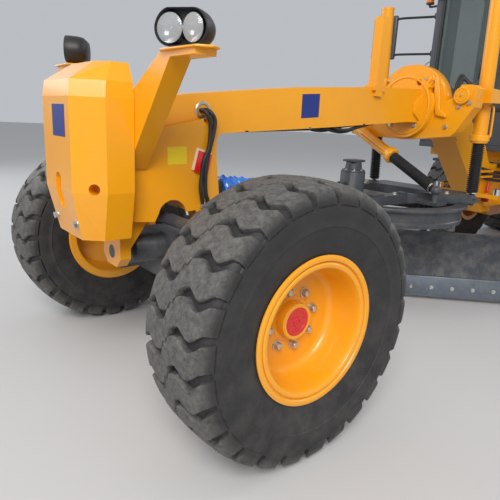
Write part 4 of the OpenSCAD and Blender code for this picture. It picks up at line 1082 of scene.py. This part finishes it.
# %% Rails
rail_paint = finish("rail_paint", (0.50, 0.50, 0.47), (0.58, 0.58, 0.55), (0.3, 0.42), dust=0.05,
                    grain=(220, 0.04), coat=0.2)
bm = bmesh.new()
for side in (1, -1):
    rail = [(0, 2320), (58, 2314), (90, 2276), (92, 2200), (92, 2000), (92, 1700), (90, 1610), (58, 1572),
            (0, 1566)]
    add_tube(bm, [on_side(side, out, z) for out, z in rail], 14)
    for z in (2320, 1566):
        add_turned(bm, on_side(side, -1, z), on_side(side, 60, z),
                   [(0, 0), (0, 30), (7, 30), (9, 20), (9, 0)], steps=24)
    low, high, y = 1490, 1950, CAB_REAR - 370
    add_tube(bm, [(side * x, y, z) for x, z in ((CAB_X, high), (CAB_X + 48, high - 4),
                                                (CAB_X + 66, high - 40), (CAB_X + 66, (high + low) / 2),
                                                (CAB_X + 66, low + 40), (CAB_X + 48, low + 4),
                                                (CAB_X, low))], 13)
finish_shape(bm, "cab_rails", "rear_frame", rail_paint)
print("rails ready")

# %% Mirrors
bm_shell, bm_face, bm_arm = bmesh.new(), bmesh.new(), bmesh.new()
low, high = (1180, CAB_FRONT - 110, 2350), (1510, CAB_FRONT - 60, 2830)
for side in (1, -1):
    spans = [sorted((side * low[0], side * high[0])), (low[1], high[1]), (low[2], high[2])]
    add_box(bm_shell, [s[0] for s in spans], [s[1] for s in spans], 20, 4)
    add_box(bm_shell, (spans[0][0] + 36, low[1] - 14, low[2] + 50),
            (spans[0][1] - 36, low[1] + 6, high[2] - 50), 12, 3)
    add_box(bm_face, (spans[0][0] + 15, high[1] - 1, low[2] + 15),
            (spans[0][1] - 15, high[1] + 3, high[2] - 15), 1.4, 1)
    for z in (2400, 2790):
        add_tube(bm_arm, sided(side, [(CAB_X + 10, CAB_FRONT + 37, z), (CAB_X + 70, CAB_FRONT + 30, z),
                                      (1080, CAB_FRONT - 70, z), (1200, CAB_FRONT - 85, z)]), 13)
        plate = sorted((side * (CAB_X - 0.5), side * (CAB_X + 24)))
        add_box(bm_arm, (plate[0], CAB_FRONT + 12, z - 30), (plate[1], CAB_FRONT + 62, z + 30), 5)
        for dz in (-19, 19):
            add_bolt(bm_arm, (side * (CAB_X + 24), CAB_FRONT + 50, z + dz), (side, 0, 0), 8)
finish_shape(bm_shell, "mirror_shells", "rear_frame", cab_paint, node=("mirrors",))
finish_shape(bm_face, "mirror_faces", "rear_frame", mirror_glass)
finish_shape(bm_arm, "mirror_arms", "rear_frame", plastic)
print("mirrors ready")

# %% Lamps
LAMP_BOXES = (
    # x of the middle, y of the face, z of the middle, half width, half height, depth, way it looks
    (510, CAB_FRONT - 130, 3315, 90, 50, 70, -1),
    (690, CAB_FRONT - 85, 3020, 50, 60, 84, -1),
    (660, REAR_END, 1249, 100, 50, 60, 1),
)
bm_house, bm_lens, bm_red, bm_amber = (bmesh.new() for _ in range(4))
for side in (1, -1):
    for x, y, z, wide, tall, deep, way in LAMP_BOXES:
        front, back = sorted((y, y - way * deep))
        add_box(bm_house, (side * x - wide, front, z - tall), (side * x + wide, back, z + tall), 9, 3)
        rim = window((side * x - wide + 12, z - tall + 12), (side * x + wide - 12, z + tall - 12), y, "y")
        add_seal(bm_house, rim, (0, way, 0), 14, 6, 16)
        near, far = sorted((y - way * 2, y + way * 5))
        if way < 0:
            add_box(bm_lens, (side * x - wide + 17, near, z - tall + 17),
                    (side * x + wide - 17, far, z + tall - 17), 3, 2)
            continue
        split = side * (x - 10)
        inner, outer = sorted((side * (x - wide + 17), split)), sorted((split, side * (x + wide - 17)))
        add_box(bm_amber, (inner[0], near, z - tall + 17), (inner[1], far, z + tall - 17), 3, 2)
        add_box(bm_red, (outer[0], near, z - tall + 17), (outer[1], far, z + tall - 17), 3, 2)
    base = on_side(side, 120, 2925)
    add_tube(bm_house, [on_side(side, 0, 2901), on_side(side, 60, 2897), on_side(side, 118, 2901),
                        on_side(side, 120, 2927)], 11)
    add_turned(bm_house, base, (base[0], base[1], base[2] + 100),
               [(0, 0), (0, 42), (14, 44), (16, 38), (16, 0)], steps=32)
    add_turned(bm_amber, base, (base[0], base[1], base[2] + 100),
               [(15, 0), (15, 39), (22, 41), (28, 38), (34, 41), (40, 38), (46, 40), (52, 37), (66, 35),
                (80, 24), (85, 0)], steps=36)
finish_shape(bm_house, "lamp_shells", "rear_frame", plastic, node=("lamps",))
finish_shape(bm_lens, "lamp_lenses", "rear_frame", lens)
finish_shape(bm_red, "tail_lenses", "rear_frame", reflector)
finish_shape(bm_amber, "turn_lenses", "rear_frame", amber)
print("lamps ready")

# %% Inside the cab
WHEEL_MIDDLE = Vector((0, 4320, 2250))
WHEEL_TILT = math.radians(39)
bm = bmesh.new()
wheel_up = Vector((0, math.sin(WHEEL_TILT), math.cos(WHEEL_TILT)))
wheel_down = Vector((0, math.cos(WHEEL_TILT), -math.sin(WHEEL_TILT)))
for degrees in (90, 210, 330):
    turn = math.radians(degrees)
    rim = WHEEL_MIDDLE + (Vector((1, 0, 0)) * math.cos(turn) + wheel_down * math.sin(turn)) * 184
    add_tube(bm, [WHEEL_MIDDLE, WHEEL_MIDDLE.lerp(rim, 0.5) - wheel_up * 12, rim], 9, sides=8)
add_turned(bm, WHEEL_MIDDLE - wheel_up * 30, WHEEL_MIDDLE + wheel_up * 70,
           [(0, 0), (0, 30), (24, 42), (40, 40), (44, 0)], steps=32)
for side in (1, -1):
    add_box(bm, (min(side * 58, side * 236), 4166, 1975), (max(side * 58, side * 236), 4292, 2038), 10, 3)
    for i in range(4):
        x = side * (96 + 36 * i)
        add_tube(bm, [(x, 4236, 2034), (x, 4252, 2120), (x, 4288, 2215)], 4.5, sides=8)
        bmesh.ops.create_uvsphere(bm, u_segments=14, v_segments=8, radius=0.014,
                                  matrix=Matrix.Translation(at(x, 4290, 2222)))
    add_tube(bm, sided(side, [(130, 3990, 1440), (130, 3960, 1500), (130, 3915, 1548)]), 8, sides=8)
    add_box(bm, (side * 130 - 42, 3888, 1540), (side * 130 + 42, 3950, 1556), 6)
finish_shape(bm, "controls", "rear_frame", plastic)
print("controls ready")

# %% [markdown]
# ## Seat
# The cushions start as blocks, are drawn in at the corners and crowned on top, and two seams are
# pressed into each. They replace the plain seat, and stand on its plinth.

# %% Seat
SEAT_PARTS = (
    # name, low corner, high corner, axis that faces the driver, its direction, crown
    ("seat_cushion", (-252, 4548, 1850), (252, 5050, 1968), 2, 1, 22),
    ("seat_back", (-242, 4955, 1958), (242, 5082, 2500), 1, -1, 20),
)


def add_cushion(bm, low, high, axis, way, crown):
    """A stuffed block: corners drawn in, one face crowned, with two seams along it."""
    made = bmesh.ops.create_cube(bm, size=2)["verts"]
    edges = list({edge for v in made for edge in v.link_edges})
    bmesh.ops.subdivide_edges(bm, edges=edges, cuts=26, use_grid_fill=True)
    middle, half = (Vector(low) + Vector(high)) / 2, (Vector(high) - Vector(low)) / 2
    across = 0
    for v in bm.verts:
        u = v.co.copy()
        ball = Vector([u[i] * math.sqrt(1 - u[(i + 1) % 3] ** 2 / 2 - u[(i + 2) % 3] ** 2 / 2
                                        + u[(i + 1) % 3] ** 2 * u[(i + 2) % 3] ** 2 / 3) for i in range(3)])
        p = u.lerp(ball, 0.22)
        place = Vector([middle[i] + p[i] * half[i] for i in range(3)])
        facing = max(0, u[axis] * way)
        swell = (1 - u[across] ** 2) * (1 - u[3 - axis] ** 2)
        seam = math.exp(-((abs(u[across]) - 0.52) / 0.05) ** 2)
        place[axis] += way * facing ** 4 * (crown * swell ** 0.5 - 9 * seam)
        v.co = at(*place)


for name, low, high, axis, way, crown in SEAT_PARTS:
    bm = bmesh.new()
    add_cushion(bm, low, high, axis, way, crown)
    cushion = finish_shape(bm, name, "rear_frame", cloth, flat=180)
bm = bmesh.new()
add_box(bm, (-165, 4648, 1440), (165, 4952, 1500), 12)
for low, high in ((1500, 1560), (1565, 1625), (1630, 1690), (1695, 1755)):
    add_box(bm, (-150, 4663, low), (150, 4937, high), 24, 3)
add_box(bm, (-230, 4580, 1760), (230, 5030, 1852), 16, 3)
add_box(bm, (-215, 5060, 1900), (215, 5092, 2440), 14, 3)
for side in (1, -1):
    add_box(bm, (side * 285 - 32, 4700, 2085), (side * 285 + 32, 5010, 2130), 16, 3)
    add_box(bm, (side * 270 - 22, 4985, 2070), (side * 270 + 22, 5060, 2120), 8)
finish_shape(bm, "seat_plinth", "rear_frame", plastic, node=("seat",))
print("seat ready")

# %% [markdown]
# ## Rear of the machine
# The hood gets its door frames, latches, hinges and the radiator seen through its slots, the exhaust
# its bands, the intake its ribs, and the tanks, steps, tandems and bumper their caps, studs and bolts.

# %% Hood
HOOD_X = 520
bm = bmesh.new()
bm_latch = bmesh.new()
for side in (1, -1):
    for front, back in ((5840, 6790), (6830, 7780)):
        add_seal(bm, window((front, 1310), (back, 1860), side * HOOD_X, "x"), (side, 0, 0), 16, 5, 26)
        for y in (front + 150, back - 150):
            add_turned(bm_latch, (side * (HOOD_X - 1), y, 1345), (side * (HOOD_X + 40), y, 1345),
                       [(0, 0), (0, 24), (5, 24), (7, 17), (4, 15), (4, 0)], steps=28)
            inner, outer = sorted((side * (HOOD_X - 1), side * (HOOD_X + 15)))
            add_box(bm_latch, (inner, y - 5, 1325), (outer, y + 5, 1365), 3)
            hinge_x = side * (HOOD_X + 8)
            add_bar(bm_latch, (hinge_x, y - 45, 1856), (hinge_x, y + 45, 1856), 11, steps=16, width=2)
add_seal(bm, window((-440, 1240), (440, 1870), 8150, "y"), (0, 1, 0), 16, 5, 26)
finish_shape(bm, "hood_frames", "rear_frame", yellow)
finish_shape(bm_latch, "hood_latches", "rear_frame", plastic)
print("hood ready")

# %% Radiator
bm = bmesh.new()
add_box(bm, (-410, 7900, 1235), (410, 7990, 1880), 8)
for i in range(40):
    x = -390 + 20 * i
    add_box(bm, (x - 2, 7985, 1255), (x + 2, 8030, 1860))
for z in (1290, 1860):
    add_box(bm, (-425, 7890, z - 50), (425, 8040, z + 20), 12, 3)
finish_shape(bm, "radiator", "rear_frame", engine_paint)
print("radiator ready")

# %% Exhaust and intake
EXHAUST = (250, 6500)
INTAKE = (-250, 6600)
bm = bmesh.new()
for z in (2215, 2330, 2445):
    add_turned(bm, (*EXHAUST, z), (*EXHAUST, z + 50), [(0, 99), (0, 104), (4, 106), (18, 106), (22, 104),
                                                       (22, 99)], closed=True)
    add_box(bm, (EXHAUST[0] + 98, EXHAUST[1] - 12, z - 1), (EXHAUST[0] + 128, EXHAUST[1] + 12, z + 23), 4)
add_turned(bm, (*EXHAUST, 2560), (*EXHAUST, 2600), [(0, 59), (0, 66), (26, 66), (26, 59)], closed=True)
add_turned(bm, (*EXHAUST, 2780), (*EXHAUST, 2860), [(0, 59), (0, 64), (68, 64), (68, 61)])
finish_shape(bm, "exhaust_bands", "rear_frame", bright)
bm = bmesh.new()
for x, y in around(18, 119):
    rib_x, rib_y = INTAKE[0] + x, INTAKE[1] + y
    add_bar(bm, (rib_x, rib_y, 2300), (rib_x, rib_y, 2420), 5, steps=8, width=1.5)
finish_shape(bm, "intake_ribs", "rear_frame", plastic)
print("exhaust ready")

# %% Tanks, steps and bumper
bm_cap, bm_stud, bm_bolt = bmesh.new(), bmesh.new(), bmesh.new()
for side in (1, -1):
    add_turned(bm_cap, (side * 520, 5485, 1998), (side * 520, 5485, 2100),
               [(0, 0), (0, 62), (14, 62), (18, 54), (34, 54), (40, 50), (48, 44), (50, 0)], steps=40)
    for z in (630, 930, 1230):
        for i in range(9):
            for x in (620, 690, 760, 812):
                add_bar(bm_stud, (side * x, 4210 + 40 * i, z - 1), (side * x, 4210 + 40 * i, z + 4), 9, 6,
                        steps=10)
    for x in (180, 420, 660):
        for z in (900, 1120):
            add_bolt(bm_bolt, (side * x, 8270, z), (0, 1, 0), 24)
finish_shape(bm_cap, "caps", "rear_frame", charcoal)
finish_shape(bm_stud, "step_studs", "rear_frame", charcoal)
finish_shape(bm_bolt, "rear_bolts", "rear_frame", zinc)
print("tanks, steps and bumper ready")

# %% Covers of the tandems
TANDEM_FACE, TANDEM_Y, TANDEM_Z = 798, 6219, 659
for side, label in SIDES:
    bm = bmesh.new()
    add_turned(bm, (side * TANDEM_FACE, TANDEM_Y, TANDEM_Z),
               (side * (TANDEM_FACE + 62), TANDEM_Y, TANDEM_Z),
               [(0, 0), (0, 150), (10, 150), (14, 144), (14, 0)], steps=56)
    for y, z in around(8, 122):
        add_bolt(bm, (side * (TANDEM_FACE + 14), TANDEM_Y + y, TANDEM_Z + z), (side, 0, 0), 16)
    finish_shape(bm, "tandem_cover_" + label, "tandem_" + label, yellow)
print("tandem covers ready")

# %% Hoses across the articulation
# Points of the lowest hose: out from the middle, back, and up. The others lie above it.
LOWEST_HOSE = ((104, 3480, 1120), (124, 3560, 1124), (166, 3700, 1094), (204, 3850, 1080),
               (226, 4010, 1094), (236, 4120, 1122), (236, 4220, 1124))
for side, label in SIDES:
    bm = bmesh.new()
    for lift, out in ((0, 0), (42, 10), (84, -6)):
        add_tube(bm, [(side * (x + out), y, z + lift) for x, y, z in LOWEST_HOSE], 16)
    finish_shape(bm, "articulation_hoses_" + label, ("front_frame", "rear_frame",
                                                     at(side * 150, 3600, 1130),
                                                     at(side * 236, 4110, 1130)), hose, 60)
print("articulation hoses ready")

# %% [markdown]
# ## Floor, light and camera
# A plain pale floor, one broad soft light from the left front and two fills, and a camera where the
# photograph was taken from: close to the left front tyre at head height, looking back and down.

# %% Floor
floor_mesh = bpy.data.meshes.new("floor")
bm = bmesh.new()
bmesh.ops.create_grid(bm, x_segments=8, y_segments=8, size=60)
bm.to_mesh(floor_mesh)
bm.free()
floor = bpy.data.objects.new("floor", floor_mesh)
floor_finish = bpy.data.materials.new("floor_finish")
floor_finish.use_nodes = True
floor_shader = floor_finish.node_tree.nodes["Principled BSDF"]
floor_shader.inputs["Base Color"].default_value = (0.56, 0.555, 0.55, 1)
floor_shader.inputs["Roughness"].default_value = 0.85
floor_mesh.materials.append(floor_finish)
floor.location = (0, 0, -0.001)
bpy.context.scene.collection.objects.link(floor)
print("floor ready")

# %% Light
world = bpy.data.worlds.new("studio")
bpy.context.scene.world = world
world.use_nodes = True
world.node_tree.nodes["Background"].inputs["Color"].default_value = (0.90, 0.94, 1.0, 1)
world.node_tree.nodes["Background"].inputs["Strength"].default_value = 0.55


def add_light(name, place, target, size, power, tint):
    """A square area light at a place that faces a target, both in metres."""
    data = bpy.data.lights.new(name, "AREA")
    data.shape = "SQUARE"
    data.size = size
    data.energy = power
    data.color = tint
    light = bpy.data.objects.new(name, data)
    light.location = place
    light.rotation_euler = (Vector(target) - Vector(place)).to_track_quat("-Z", "Y").to_euler()
    bpy.context.scene.collection.objects.link(light)


add_light("key", (7.0, -9.5, 8.0), (0, -2.5, 1.0), 5.0, 1150, (1.0, 0.97, 0.93))
add_light("fill", (-9.0, -6.0, 6.0), (0, 0, 1.2), 7.0, 330, (0.94, 0.97, 1.0))
add_light("back", (4.0, 12.0, 9.0), (0, 1.0, 1.5), 7.0, 450, (1.0, 1.0, 1.0))
print("lights", len(bpy.data.lights))

# %% Camera
CAMERA_PLACE = (2695, -1566, 1580)
YAW = math.radians(50.82)
DIP = math.radians(14.62)
ROLL = math.radians(2.86)
look = Vector((-math.sin(YAW) * math.cos(DIP), math.cos(YAW) * math.cos(DIP), -math.sin(DIP)))
level = look.cross(Vector((0, 0, 1))).normalized()
upright = level.cross(look)
right = level * math.cos(ROLL) + upright * math.sin(ROLL)
above = upright * math.cos(ROLL) - level * math.sin(ROLL)
camera_data = bpy.data.cameras.new("camera")
camera_data.sensor_width = 36
camera_data.lens = 36 * 498.9 / 500
camera_data.clip_start = 0.05
camera = bpy.data.objects.new("camera", camera_data)
turn = Matrix((right, above, -look)).transposed().to_4x4()
camera.matrix_world = Matrix.Translation(at(*CAMERA_PLACE)) @ turn
bpy.context.scene.collection.objects.link(camera)
bpy.context.scene.camera = camera
bpy.context.scene.view_settings.view_transform = "Standard"
print("camera at", [round(v, 3) for v in camera.location])
